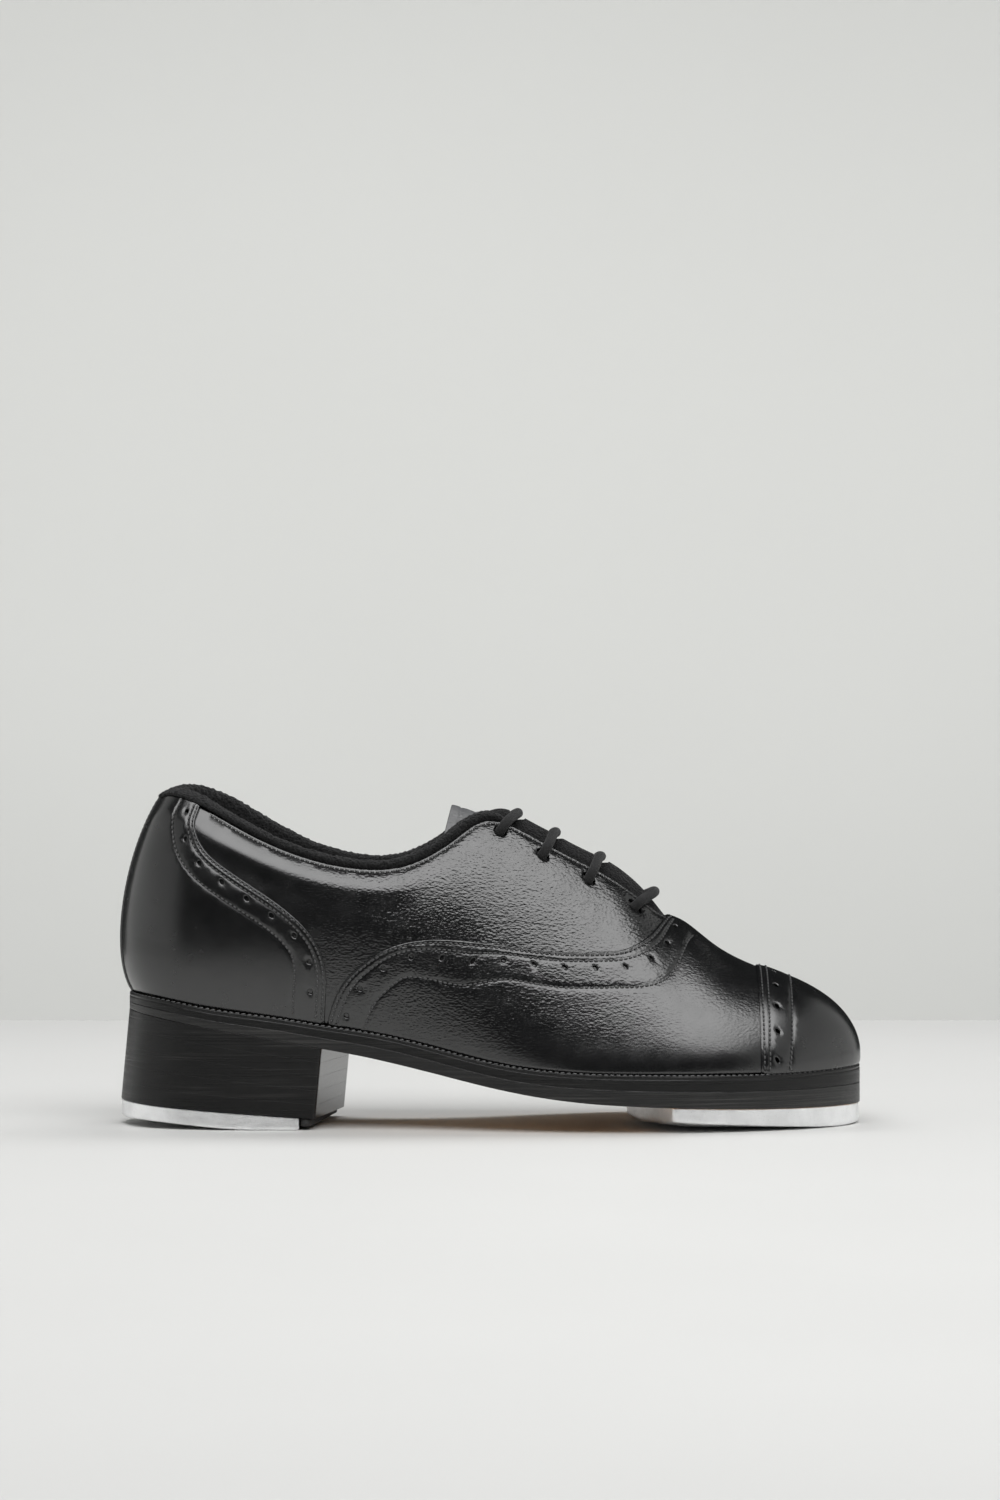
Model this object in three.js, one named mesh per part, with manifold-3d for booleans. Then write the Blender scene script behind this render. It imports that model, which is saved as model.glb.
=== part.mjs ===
// Tap shoe: a black leather cap-toe oxford with a toe tap, a heel tap and a stacked heel.
// Right shoe. Millimetres, +X towards the toe, +Y towards the inner side of the foot, +Z up.
// The origin is on the floor, under the middle of the shoe.
import * as THREE from 'three';
import { mergeVertices } from 'three/addons/utils/BufferGeometryUtils.js';
import Module from 'manifold-3d';

const wasm = await Module();
wasm.setup();

// ---- Driving dimensions -------------------------------------------------------------------

const GAP = 0.3; // clearance between neighbouring pieces
const LEATHER = 1.2; // thickness of the outer leather panels
const QUARTER_LEATHER = 1.1;
const LINING = 0.8;
const SOLE_OVERHANG = 1.5; // how far the sole edge stands out from the upper
const WELT = 1.8;
const WELT_WIDTH = 7;
const INSOLE = 2.5;
const SOCK = 1.0;
const SHANK = { from: -96, to: -40, halfWidth: 7, thickness: 1.2 };
const MIDSOLE_SHARE = 0.38; // of the height left between the welt and the ground face
const HEEL_LIFTS = 5;
const HEEL_BASE = { backX: -140, backZ: 9.7, frontX: -64, frontZ: 4.3 };
const HEEL_SETBACK = 0.094; // the heel leans back by this much for each mm it goes down
const BREAST = { x: -62.6, y: -32, turn: 8.5 }; // the heel's front face, turned about +Z
const LACE_RADIUS = 1.9;
const LACE_ROOM = 0.8;
const EYELET_RADIUS = 3.2;
const SCREW = { head: 3.2, headHeight: 1.6, shank: 1.4, length: 12, sunk: 0.8 };
const RIB_STEPS = 6; // facets from the feather line up to the top line
const RIBS = 23; // ribs on each side, from the back seam to the tip of the toe
const RIDGE_START = 14; // the first rib that meets the one of the other side on the ridge
const COLLAR_END = 9; // the rib at the top corner of the facing
const ROLL_CENTRE = { inward: 5.6, down: 1.6 }; // of the collar padding, from the top line

// Height of the feather line, where the upper meets the welt, along the shoe: x, z.
const FEATHER = [
  [-142, 50.2], [-122, 48], [-107, 45.3], [-90, 43], [-77, 41.2], [-63, 38.9], [-46, 36.3],
  [-28, 32.6], [-10, 28], [9, 24.2], [27, 22.4], [55, 21.5], [80, 21.2], [100, 21], [120, 21.3],
  [142, 22.4],
];

// Height of the sole's ground face along the shoe: x, z.
const GROUND_FACE = [
  [-142, 44.3], [-120, 40.6], [-101, 37.1], [-80, 33.6], [-62, 30.2], [-50, 28], [-37, 25.2],
  [-19, 21], [0, 16.6], [18, 13.3], [36, 11.2], [55, 10], [75, 9.2], [107, 8.3], [142, 7.9],
];

// The ribs of the last, from the back seam to the toe. Each one is a Bezier curve:
// foot x, foot y, lean out of the wall at the foot (degrees), length of the foot handle,
// top x, top y, top z, heading of the top handle (degrees from the side towards the back),
// fall of the top handle below level (degrees), length of the top handle.
const BACK_RIB = [-135.6, 3, 36, 15.5, -125.1, 2, 123.4, 90, 57, 25.7];
const OUTER_RIBS = [
  [-132.7, -10.8, 33, 15.5, -121.8, -8.8, 124.6, 60, 54, 24],
  [-124.6, -21.8, 28, 16, -114.5, -15, 123.4, 38, 54, 22],
  [-110, -28.8, 22, 17, -104, -19.6, 118.4, 22, 53, 19],
  [-90, -31.2, 17, 17, -88, -23, 109.8, 12, 50, 16.5],
  [-68, -31, 12, 17, -68, -24.2, 101.8, 4, 48, 15.5],
  [-46, -31.3, 8, 18, -48, -24.2, 98, 0, 48, 15.5],
  [-26, -33.8, 5, 20, -30, -22.8, 99.8, -6, 49, 18],
  [-8, -38, 4, 22, -13, -18, 109.3, -10, 50, 24],
  [9, -41.8, 3, 19, 1.1, -12.5, 115.7, -8, 53, 27],
  [30, -45, 1, 9.5, 20.4, -11.5, 107.4, 0, 45, 19],
  [48, -45.8, 0, 8.5, 37.3, -10.8, 98.7, 0, 45, 18],
  [62, -45.2, 2, 9.5, 52, -9.6, 90, 0, 42, 19],
  [73, -43.8, 5, 12, 64, -6, 81, 0, 32, 18],
  [83, -41.6, 7, 13.5, 73, 0, 76.6, 0, 8, 16],
  [93, -38.6, 8, 13.5, 84, 0.4, 68, 0, 0, 16.5],
  [102, -35, 9, 13.5, 95, 0.8, 61.6, 0, 0, 17.5],
  [111, -30.6, 10.5, 13.5, 106, 1.3, 57.1, 0, 0, 17.2],
  [119.5, -25.3, 12, 13.5, 117, 1.9, 52.5, 0, 0, 15],
  [127, -19.2, 12, 12, 126.6, 2.5, 46.9, 0, 0, 12],
  [132.8, -12.8, 12, 9.6, 133.3, 3.1, 40.6, 0, 0, 8.8],
  [136.6, -6.4, 12, 6.3, 137.3, 3.6, 34, 0, 0, 5.5],
  [138.2, -1.2, 12, 3, 138.8, 3.9, 28, 0, 0, 2.8],
];
const INNER_RIBS = [
  [-131.2, 15.6, 33, 15.5, -120.8, 12, 125.4, 60, 54, 24],
  [-121.8, 25.6, 28, 16, -112.5, 17.6, 125, 38, 54, 22],
  [-107, 30, 22, 17, -101, 21, 121, 22, 53, 19],
  [-88, 29, 17, 17, -86, 23.2, 112.4, 12, 51, 17],
  [-67, 26, 16, 18, -67, 24, 103, 4, 50, 15.5],
  [-46, 22.5, 18, 19, -48, 24, 98.5, 0, 50, 15.5],
  [-26, 21, 18, 20, -30, 22.8, 100.2, -6, 51, 18],
  [-8, 23.8, 14, 22, -13, 18, 109.2, -10, 52, 24],
  [9, 29.8, 9, 23, 1.1, 12.5, 115.7, -8, 56, 28],
  [30, 38, 4, 15, 20.4, 11.5, 107.4, 0, 48, 23],
  [48, 43, 3, 12, 37.3, 10.8, 98.7, 0, 45, 20],
  [63, 45.4, 3, 11, 52, 9.6, 90, 0, 42, 20],
  [75, 45.8, 5, 12, 64, 6, 81, 0, 32, 18],
  [86, 45, 7, 13.5, 73, 0, 76.6, 0, 8, 16],
  [96.5, 43, 8, 13.5, 84, 0.4, 68, 0, 0, 17],
  [106, 40, 11, 15, 95, 0.8, 61.6, 0, 0, 18],
  [115, 35.9, 12, 14.5, 106, 1.3, 57.1, 0, 0, 17.4],
  [122.8, 31, 12, 13.5, 117, 1.9, 52.5, 0, 0, 15.3],
  [129.3, 25.2, 12, 12, 126.6, 2.5, 46.9, 0, 0, 12.3],
  [134.2, 18.9, 12, 9.6, 133.3, 3.1, 40.6, 0, 0, 8.8],
  [137.2, 12.8, 12, 6.3, 137.3, 3.6, 34, 0, 0, 5.2],
  [138.3, 8.2, 12, 3, 138.8, 3.9, 28, 0, 0, 2.5],
];
const TOE_TIP = [138.6, 3.6, 12, 0, 138.6, 3.6, 22.8, 0, 0, 0];

// Seams as seen from the side: x, z.
const COUNTER_EDGE = [
  [-108, 132], [-109, 121.4], [-110.9, 114], [-107.4, 104.8], [-100.5, 98.6], [-90.2, 91.7],
  [-79.9, 84.8], [-71.6, 77.9], [-66.8, 72.4], [-63.3, 66.2], [-61.4, 58], [-62, 39], [-62.4, 25],
];
const WING_EDGE = [
  [-61.2, 25], [-61, 40], [-59.1, 46.3], [-54.6, 55.3], [-48.3, 61.6], [-40.1, 67], [-32, 69.9],
  [-23.9, 71.1], [-13.1, 71.1], [-0.4, 69.7], [13.1, 67.9], [26.6, 66.6], [40.2, 66.4],
  [49.2, 67.2], [55.5, 69.7], [60.9, 73.3], [65.4, 77.8], [69, 81], [73, 90],
];
const CAP_EDGE_X = 100.4;
const PUFF_EDGE_X = 113;
const UNDERLAP = 12; // how far a panel runs on beneath the one that covers it

// The lacing holes as seen from the side: x, z, from the top of the facing down.
const EYELETS = [[3.8, 111.7], [19.9, 102.7], [37.2, 93.7], [54.9, 83.5]];
// Where the middle of each lace bar crosses over the tongue: x, z.
const BAR_CRESTS = [[10.2, 117.3], [24.6, 110], [41.7, 100.9], [62, 87.6]];

// The crest of the tongue: x, z.
const TONGUE_CREST = [
  [-16, 120.8], [-10, 119.2], [-4, 117.6], [2, 118.9], [8, 118], [13, 115.4], [20.4, 111.3],
  [30, 106.2], [40, 101.3], [50.8, 94.8], [58.6, 87.4], [66, 78.2], [74, 69.8], [84, 62.5],
];
const TONGUE = { slope: 1.3, round: 4, halfWidth: 15.5, pad: 5, tip: 2.2, tipX: -4, backX: -13.3 };
const TONGUE_HINGE = { x: 79, z: 66.5, swing: 12 }; // it swings down into the shoe by this many degrees

// ---- Curves -------------------------------------------------------------------------------

// A natural cubic spline through the values ys at the places xs.
function cubic(xs, ys) {
  const count = xs.length;
  const bend = new Array(count).fill(0);
  const work = new Array(count).fill(0);
  for (let i = 1; i < count - 1; i += 1) {
    const ratio = (xs[i] - xs[i - 1]) / (xs[i + 1] - xs[i - 1]);
    const pivot = ratio * bend[i - 1] + 2;
    const rise = (ys[i + 1] - ys[i]) / (xs[i + 1] - xs[i]) - (ys[i] - ys[i - 1]) / (xs[i] - xs[i - 1]);
    bend[i] = (ratio - 1) / pivot;
    work[i] = ((6 * rise) / (xs[i + 1] - xs[i - 1]) - ratio * work[i - 1]) / pivot;
  }
  for (let i = count - 2; i >= 0; i -= 1) {
    bend[i] = bend[i] * bend[i + 1] + work[i];
  }
  return (x) => {
    let high = 1;
    while (high < count - 1 && xs[high] < x) high += 1;
    const low = high - 1;
    const step = xs[high] - xs[low];
    const a = (xs[high] - x) / step;
    const b = 1 - a;
    const curve = (a ** 3 - a) * bend[low] + (b ** 3 - b) * bend[high];
    return a * ys[low] + b * ys[high] + (curve * step * step) / 6;
  };
}

function profile(points) {
  return cubic(points.map((p) => p[0]), points.map((p) => p[1]));
}

const featherZ = profile(FEATHER);
const groundZ = profile(GROUND_FACE);
const tongueCrest = profile(TONGUE_CREST);

// ---- The surface of the upper -------------------------------------------------------------

const DEGREE = Math.PI / 180;

// The four control points of a rib, with the wall directions worked out from its angles.
function ribControls(rib, side, outward) {
  const [footX, footY, lean, rise, topX, topY, topZ, heading, fall, reach] = rib;
  const foot = new THREE.Vector3(footX, footY, featherZ(footX) + GAP);
  const top = new THREE.Vector3(topX, topY, topZ);
  const tilt = Math.sin(lean * DEGREE) * rise;
  const footHandle = new THREE.Vector3(outward.x * tilt, outward.y * tilt, Math.cos(lean * DEGREE) * rise);
  const sideways = Math.cos(fall * DEGREE) * reach;
  const topHandle = new THREE.Vector3(
    -Math.sin(heading * DEGREE) * sideways,
    side * Math.cos(heading * DEGREE) * sideways,
    -Math.sin(fall * DEGREE) * reach,
  );
  return { foot, footHandle, top, topHandle };
}

// All ribs in one row: from the toe along the outer side to the back and on along the inner side.
const ribRow = [
  TOE_TIP,
  ...[...OUTER_RIBS].reverse(),
  BACK_RIB,
  ...INNER_RIBS,
  TOE_TIP,
];

function outwardAt(row, i) {
  if (i === 0 || i === row.length - 1) return new THREE.Vector2(1, 0);
  const along = new THREE.Vector2(row[i + 1][0] - row[i - 1][0], row[i + 1][1] - row[i - 1][1]);
  return new THREE.Vector2(-along.y, along.x).normalize();
}

const ribIndex = ribRow.map((_, i) => i - RIBS);
const controls = ribRow.map((rib, i) => ribControls(rib, i < RIBS ? -1 : 1, outwardAt(ribRow, i)));
const ribCurves = {};
for (const part of ['foot', 'footHandle', 'top', 'topHandle']) {
  ribCurves[part] = ['x', 'y', 'z'].map((axis) => cubic(ribIndex, controls.map((c) => c[part][axis])));
}

function ribVector(part, k) {
  return new THREE.Vector3(...ribCurves[part].map((curve) => curve(k)));
}

// A point of the outer leather surface: k is the rib, negative on the outer side of the foot,
// and t runs from 0 at the feather line to 1 at the top line.
function surfacePoint(k, t) {
  const foot = ribVector('foot', k);
  const top = ribVector('top', k);
  const a = foot.clone().add(ribVector('footHandle', k));
  const b = top.clone().add(ribVector('topHandle', k));
  const s = 1 - t;
  return foot
    .multiplyScalar(s ** 3)
    .addScaledVector(a, 3 * s * s * t)
    .addScaledVector(b, 3 * s * t * t)
    .addScaledVector(top, t ** 3);
}

function surfaceNormal(k, t) {
  if (Math.abs(k) > RIBS - 0.01) return new THREE.Vector3(1, 0, 0);
  const step = 0.02;
  const low = Math.max(t - step, 0);
  const high = Math.max(Math.min(t + step, 1), low + step);
  const along = surfacePoint(k + step, t).sub(surfacePoint(k - step, t));
  const up = surfacePoint(k, high).sub(surfacePoint(k, low));
  const normal = up.cross(along);
  if (t === 1 && Math.abs(k) >= RIDGE_START) normal.y = 0;
  return normal.normalize();
}

// A point that stands off the surface by an offset, never lower than the welt.
function offsetPoint(k, t, offset) {
  const point = surfacePoint(k, t).addScaledVector(surfaceNormal(k, t), offset);
  point.z = Math.max(point.z, featherZ(point.x) + GAP);
  return point;
}

// The outline of the sole in plan, at rib k, moved out by an amount.
function planPoint(k, out) {
  const foot = ribVector('foot', k);
  if (Math.abs(k) > RIBS - 0.01) return new THREE.Vector2(foot.x + out, foot.y);
  const ahead = ribVector('foot', k + 0.05);
  const behind = ribVector('foot', k - 0.05);
  const along = ahead.sub(behind);
  const normal = new THREE.Vector2(-along.y, along.x).normalize();
  return new THREE.Vector2(foot.x + normal.x * out, foot.y + normal.y * out);
}

// ---- Closed solids ------------------------------------------------------------------------

// Joins equal points, drops flat triangles and turns the faces outward.
function toSolid(points, faces) {
  const seen = new Map();
  const verts = [];
  const place = points.map((p) => {
    const key = `${Math.round(p.x * 1e4)},${Math.round(p.y * 1e4)},${Math.round(p.z * 1e4)}`;
    if (!seen.has(key)) {
      seen.set(key, verts.length / 3);
      verts.push(p.x, p.y, p.z);
    }
    return seen.get(key);
  });
  const tris = [];
  let volume = 0;
  const corner = (i) => new THREE.Vector3(verts[3 * i], verts[3 * i + 1], verts[3 * i + 2]);
  for (const [a, b, c] of faces) {
    const [i, j, k] = [place[a], place[b], place[c]];
    if (i === j || j === k || k === i) continue;
    tris.push([i, j, k]);
    volume += corner(i).dot(corner(j).cross(corner(k)));
  }
  const ordered = volume > 0 ? tris : tris.map(([i, j, k]) => [i, k, j]);
  const mesh = new wasm.Mesh({
    numProp: 3,
    vertProperties: new Float32Array(verts),
    triVerts: new Uint32Array(ordered.flat()),
  });
  return new wasm.Manifold(mesh);
}

function solidOf(geometry) {
  const bare = geometry.clone();
  bare.deleteAttribute('normal');
  bare.deleteAttribute('uv');
  const merged = mergeVertices(bare, 1e-4);
  const position = merged.getAttribute('position');
  const points = [];
  for (let i = 0; i < position.count; i += 1) {
    points.push(new THREE.Vector3().fromBufferAttribute(position, i));
  }
  const index = merged.getIndex().array;
  const faces = [];
  for (let i = 0; i < index.length; i += 3) faces.push([index[i], index[i + 1], index[i + 2]]);
  return toSolid(points, faces);
}

// A sheet of quads given thickness: `above` and `below` hold the two points of each grid node.
function thicken(above, below, quads) {
  const count = above.length;
  const faces = [];
  const border = new Map();
  for (const quad of quads) {
    const [a, b, c, d] = quad;
    faces.push([a, b, c], [a, c, d]);
    faces.push([a + count, c + count, b + count], [a + count, d + count, c + count]);
    for (let i = 0; i < 4; i += 1) {
      const from = quad[i];
      const to = quad[(i + 1) % 4];
      if (from === to) continue;
      if (border.has(`${to},${from}`)) border.delete(`${to},${from}`);
      else border.set(`${from},${to}`, [from, to]);
    }
  }
  for (const [from, to] of border.values()) {
    faces.push([from, from + count, to + count], [from, to + count, to]);
  }
  return toSolid([...above, ...below], faces);
}

// A layer of the whole upper between two offsets from the leather surface. With an overrun it
// also passes the open top edge by that share of a rib.
function upperLayer(outer, inner, overrun = 0) {
  const ids = new Map();
  const above = [];
  const below = [];
  const node = (k, j) => {
    let key = `${k},${j}`;
    if (Math.abs(k) === RIBS) key = 'tip';
    else if (j === RIB_STEPS && Math.abs(k) >= RIDGE_START) key = `ridge ${Math.abs(k)}`;
    if (!ids.has(key)) {
      const open = j === RIB_STEPS && Math.abs(k) < RIDGE_START;
      const t = j / RIB_STEPS + (open ? overrun : 0);
      ids.set(key, above.length);
      above.push(offsetPoint(k, t, outer));
      below.push(offsetPoint(k, t, inner));
    }
    return ids.get(key);
  };
  const quads = [];
  for (let k = -RIBS; k < RIBS; k += 1) {
    for (let j = 0; j < RIB_STEPS; j += 1) {
      quads.push([node(k, j), node(k + 1, j), node(k + 1, j + 1), node(k, j + 1)]);
    }
  }
  return thicken(above, below, quads);
}

// A plate in the outline of the sole, from rib 0 to a last rib on each side.
function solePlate(out, topOf, bottomOf, lastRib = RIBS) {
  const above = [];
  const below = [];
  const ids = new Map();
  const node = (k) => {
    const key = k === 0 || Math.abs(k) === RIBS ? Math.abs(k) : k;
    if (!ids.has(key)) {
      const p = planPoint(k, out);
      ids.set(key, above.length);
      above.push(topOf(p.x, p.y));
      below.push(bottomOf(p.x, p.y));
    }
    return ids.get(key);
  };
  const quads = [];
  for (let k = 0; k < lastRib; k += 1) quads.push([node(-k), node(k), node(k + 1), node(-k - 1)]);
  return thicken(above, below, quads);
}

function level(heightOf) {
  return (x, y) => new THREE.Vector3(x, y, heightOf(x, y));
}

// A rectangular block with a grid on its top and bottom faces, each at its own height.
function heightBlock(x, y, steps, topOf, bottomOf) {
  const above = [];
  const below = [];
  const quads = [];
  const [nx, ny] = steps;
  for (let i = 0; i <= nx; i += 1) {
    for (let j = 0; j <= ny; j += 1) {
      const px = THREE.MathUtils.lerp(x[0], x[1], i / nx);
      const py = THREE.MathUtils.lerp(y[0], y[1], j / ny);
      above.push(new THREE.Vector3(px, py, topOf(px, py)));
      below.push(new THREE.Vector3(px, py, bottomOf(px, py)));
      if (i < nx && j < ny) {
        const a = i * (ny + 1) + j;
        quads.push([a, a + ny + 1, a + ny + 2, a + 1]);
      }
    }
  }
  return thicken(above, below, quads);
}

// A solid through rings of points, closed at both ends with a fan about the ring's middle.
function loft(rings) {
  const size = rings[0].length;
  const points = rings.flat();
  const faces = [];
  for (let r = 0; r + 1 < rings.length; r += 1) {
    for (let i = 0; i < size; i += 1) {
      const a = r * size + i;
      const b = r * size + ((i + 1) % size);
      faces.push([a, b, b + size], [a, b + size, a + size]);
    }
  }
  for (const [first, flip] of [[0, true], [(rings.length - 1) * size, false]]) {
    for (let i = 1; i + 1 < size; i += 1) {
      faces.push(flip ? [first, first + i + 1, first + i] : [first, first + i, first + i + 1]);
    }
  }
  return toSolid(points, faces);
}

// A prism with the given outline in the x-z plane, between two places across the shoe.
function sidePrism(outline, fromY, toY) {
  const shape = new THREE.Shape(outline.map(([x, z]) => new THREE.Vector2(x, z)));
  const geometry = new THREE.ExtrudeGeometry(shape, { depth: toY - fromY, bevelEnabled: false });
  geometry.rotateX(Math.PI / 2);
  geometry.translate(0, toY, 0);
  return solidOf(geometry);
}

// A prism with the given outline in the x-y plane, between two heights.
function planPrism(outline, fromZ, toZ) {
  const shape = new THREE.Shape(outline.map(([x, y]) => new THREE.Vector2(x, y)));
  const geometry = new THREE.ExtrudeGeometry(shape, { depth: toZ - fromZ, bevelEnabled: false });
  geometry.translate(0, 0, fromZ);
  return solidOf(geometry);
}

function block(min, max) {
  const size = new THREE.Vector3(...max).sub(new THREE.Vector3(...min));
  const geometry = new THREE.BoxGeometry(size.x, size.y, size.z);
  geometry.translate(min[0] + size.x / 2, min[1] + size.y / 2, min[2] + size.z / 2);
  return solidOf(geometry);
}

function upright(x, y, fromZ, toZ, radius, sides = 12) {
  const geometry = new THREE.CylinderGeometry(radius, radius, toZ - fromZ, sides);
  geometry.rotateX(Math.PI / 2);
  geometry.translate(x, y, (fromZ + toZ) / 2);
  return solidOf(geometry);
}

// ---- The object ---------------------------------------------------------------------------

const shoe = new THREE.Group();

const MATERIALS = {
  leather: { color: 0x17181a, roughness: 0.34, metalness: 0 },
  fabric: { color: 0x1d1d1e, roughness: 0.95, metalness: 0 },
  lace: { color: 0x191a1a, roughness: 0.85, metalness: 0 },
  edge: { color: 0x141414, roughness: 0.4, metalness: 0 },
  tan: { color: 0xb99468, roughness: 0.7, metalness: 0 },
  cork: { color: 0x9a7448, roughness: 0.95, metalness: 0 },
  board: { color: 0xc2a883, roughness: 0.85, metalness: 0 },
  rubber: { color: 0x101011, roughness: 0.8, metalness: 0 },
  aluminium: { color: 0xd4d5d6, roughness: 0.35, metalness: 1 },
  steel: { color: 0xa6a8ab, roughness: 0.35, metalness: 1 },
};

// The largest body of a cut solid: crumbs left beside the cut are dropped.
function largest(solid) {
  return solid.decompose().reduce((a, b) => (a.volume() > b.volume() ? a : b));
}

function add(name, solid, material) {
  const mesh = largest(solid).getMesh();
  const geometry = new THREE.BufferGeometry();
  geometry.setAttribute('position', new THREE.BufferAttribute(mesh.vertProperties, 3));
  geometry.setIndex(new THREE.BufferAttribute(mesh.triVerts, 1));
  geometry.computeVertexNormals();
  const piece = new THREE.Mesh(geometry, new THREE.MeshStandardMaterial(MATERIALS[material]));
  piece.name = name;
  shoe.add(piece);
}

// Smooth line through hand-set points, as plain pairs.
function smoothLine(points, steps) {
  const curve = new THREE.SplineCurve(points.map(([x, y]) => new THREE.Vector2(x, y)));
  return curve.getPoints(steps).map((p) => [p.x, p.y]);
}

// ---- Screws -------------------------------------------------------------------------------

const TOE_SCREWS = [[120, 4], [84, -25], [86, 27]];
const HEEL_SCREWS = [[-128, 4, 2.6], [-92, -23.5], [-86, 21.5]]; // the third number is a lift

// A countersunk screw, and the room it needs in what it passes through.
function screw(x, y, lift = 0) {
  const head = SCREW.sunk + SCREW.headHeight;
  const points = [
    [0, SCREW.sunk],
    [SCREW.head, SCREW.sunk],
    [SCREW.head, SCREW.sunk + 0.4],
    [SCREW.shank, head],
    [SCREW.shank, SCREW.sunk + SCREW.length - 1.5],
    [0, SCREW.sunk + SCREW.length],
  ].map(([r, z]) => new THREE.Vector2(r, z));
  const geometry = new THREE.LatheGeometry(points, 8);
  geometry.rotateX(Math.PI / 2);
  geometry.translate(x, y, lift);
  return solidOf(geometry);
}

function drillForScrews(solid, places) {
  let drilled = solid;
  for (const [x, y, lift = 0] of places) {
    const head = upright(x, y, -2, lift + SCREW.sunk + SCREW.headHeight + GAP, SCREW.head + GAP, 12);
    const shank = upright(x, y, 0, lift + SCREW.sunk + SCREW.length + GAP, SCREW.shank + GAP, 10);
    drilled = drilled.subtract(head).subtract(shank);
  }
  return drilled;
}

// ---- Sole ---------------------------------------------------------------------------------

const weltBottom = (x) => featherZ(x) - WELT;
const midsoleTop = (x) => weltBottom(x) - GAP;
const midsoleBottom = (x) => midsoleTop(x) - MIDSOLE_SHARE * (midsoleTop(x) - GAP - groundZ(x));
const outsoleTop = (x) => midsoleBottom(x) - GAP;

function makeSole() {
  const outsole = solePlate(SOLE_OVERHANG, level(outsoleTop), level(groundZ));
  add('outsole', drillForScrews(outsole, TOE_SCREWS), 'tan');
  const midsole = solePlate(SOLE_OVERHANG, level(midsoleTop), level(midsoleBottom));
  add('midsole', drillForScrews(midsole, TOE_SCREWS), 'edge');
  const ring = solePlate(SOLE_OVERHANG, level(featherZ), level(weltBottom));
  const hole = solePlate(SOLE_OVERHANG - WELT_WIDTH, level((x) => featherZ(x) + 2), level((x) => weltBottom(x) - 2));
  add('welt', ring.subtract(hole), 'edge');

  const filling = solePlate(SOLE_OVERHANG - WELT_WIDTH - 0.5, level(featherZ), level((x) => weltBottom(x) + GAP));
  add('cork_filler', filling.intersect(block([SHANK.to + 2, -60, 0], [160, 60, 80])), 'cork');
  const shank = heightBlock(
    [SHANK.from, SHANK.to],
    [-SHANK.halfWidth, SHANK.halfWidth],
    [6, 2],
    (x) => featherZ(x) - 0.2,
    (x) => featherZ(x) - 0.2 - SHANK.thickness,
  );
  add('shank', shank, 'steel');
  const inset = -6.2;
  const insole = solePlate(inset, level((x) => featherZ(x) + GAP + INSOLE), level((x) => featherZ(x) + GAP));
  add('insole_board', insole, 'board');
  const sockBottom = 2 * GAP + INSOLE;
  const sock = solePlate(
    inset - 0.3,
    level((x) => featherZ(x) + sockBottom + SOCK),
    level((x) => featherZ(x) + sockBottom),
  );
  add('sock_liner', sock, 'fabric');
}

// ---- Heel ---------------------------------------------------------------------------------

function heelBase(x) {
  const share = (x - HEEL_BASE.backX) / (HEEL_BASE.frontX - HEEL_BASE.backX);
  return THREE.MathUtils.lerp(HEEL_BASE.backZ, HEEL_BASE.frontZ, share);
}

// A slice of the heel between two shares of its height, 0 at the sole and 1 at the tap.
function heelSlice(fromShare, toShare, topGap) {
  const height = (x, share) => THREE.MathUtils.lerp(groundZ(x) - GAP, heelBase(x), share);
  const at = (share, drop) => (x, y) => {
    const z = height(x, share) - drop;
    const back = HEEL_SETBACK * (groundZ(x) - z);
    return new THREE.Vector3(x - back, y, z);
  };
  return solePlate(SOLE_OVERHANG, at(fromShare, topGap), at(toShare, 0), 9);
}

const breastNormal = [-Math.cos(BREAST.turn * DEGREE), Math.sin(BREAST.turn * DEGREE), 0];
const breastOffset = breastNormal[0] * BREAST.x + breastNormal[1] * BREAST.y;

function behindBreast(solid, setback) {
  return solid.trimByPlane(breastNormal, breastOffset + setback);
}

// The front edge of the heel tap in plan: it leaves room for the rubber pad.
const PAD_EDGE = [
  [-68, -44], [-70.8, -34], [-72.5, -27], [-80, -21], [-90, -15.5], [-96.5, -5], [-95, 6],
  [-87, 13], [-76, 17.5], [-67, 22], [-63, 30], [-61, 44],
];

// The heel tap's underside runs up behind the place where it stands on the floor.
function heelTapUnderside(x) {
  return 2.9 * THREE.MathUtils.smoothstep(-86 - x, 0, 50);
}

function makeHeel() {
  for (let i = 0; i < HEEL_LIFTS; i += 1) {
    const slice = heelSlice(i / HEEL_LIFTS, (i + 1) / HEEL_LIFTS, i === 0 ? 0 : GAP);
    const lift = behindBreast(slice, 0);
    add(`heel_lift_${i + 1}`, drillForScrews(lift, HEEL_SCREWS), 'edge');
  }
  const under = (bottomOf) => {
    const top = (x, y) => new THREE.Vector3(x - 3.4, y, heelBase(x) - GAP);
    const bottom = (x, y) => new THREE.Vector3(x - 3.4, y, bottomOf(x - 3.4));
    return behindBreast(solePlate(SOLE_OVERHANG - 0.3, top, bottom, 9), 1);
  };
  const padLine = smoothLine(PAD_EDGE, 16);
  const padSide = [...padLine, [-40, 44], [-40, -44]];
  const tap = under(heelTapUnderside).subtract(planPrism(padSide, -5, 30));
  add('heel_tap', drillForScrews(tap, HEEL_SCREWS), 'aluminium');
  const padShape = planPrism(padSide.map(([x, y]) => [x + 0.5, y]), -5, 30);
  add('heel_rubber_pad', under(() => 1.4).intersect(padShape), 'rubber');
}

// ---- Toe tap ------------------------------------------------------------------------------

// The rear edge of the toe tap in plan, from the outer side to the inner side.
const TAP_REAR = [[69, -52], [67, -45], [61.5, -35], [55, -20], [51.8, -4], [52.4, 10], [58, 28], [67, 42], [72, 52]];
const TAP_FLAT = 12; // half-width of the flat strip that stands on the floor

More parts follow.
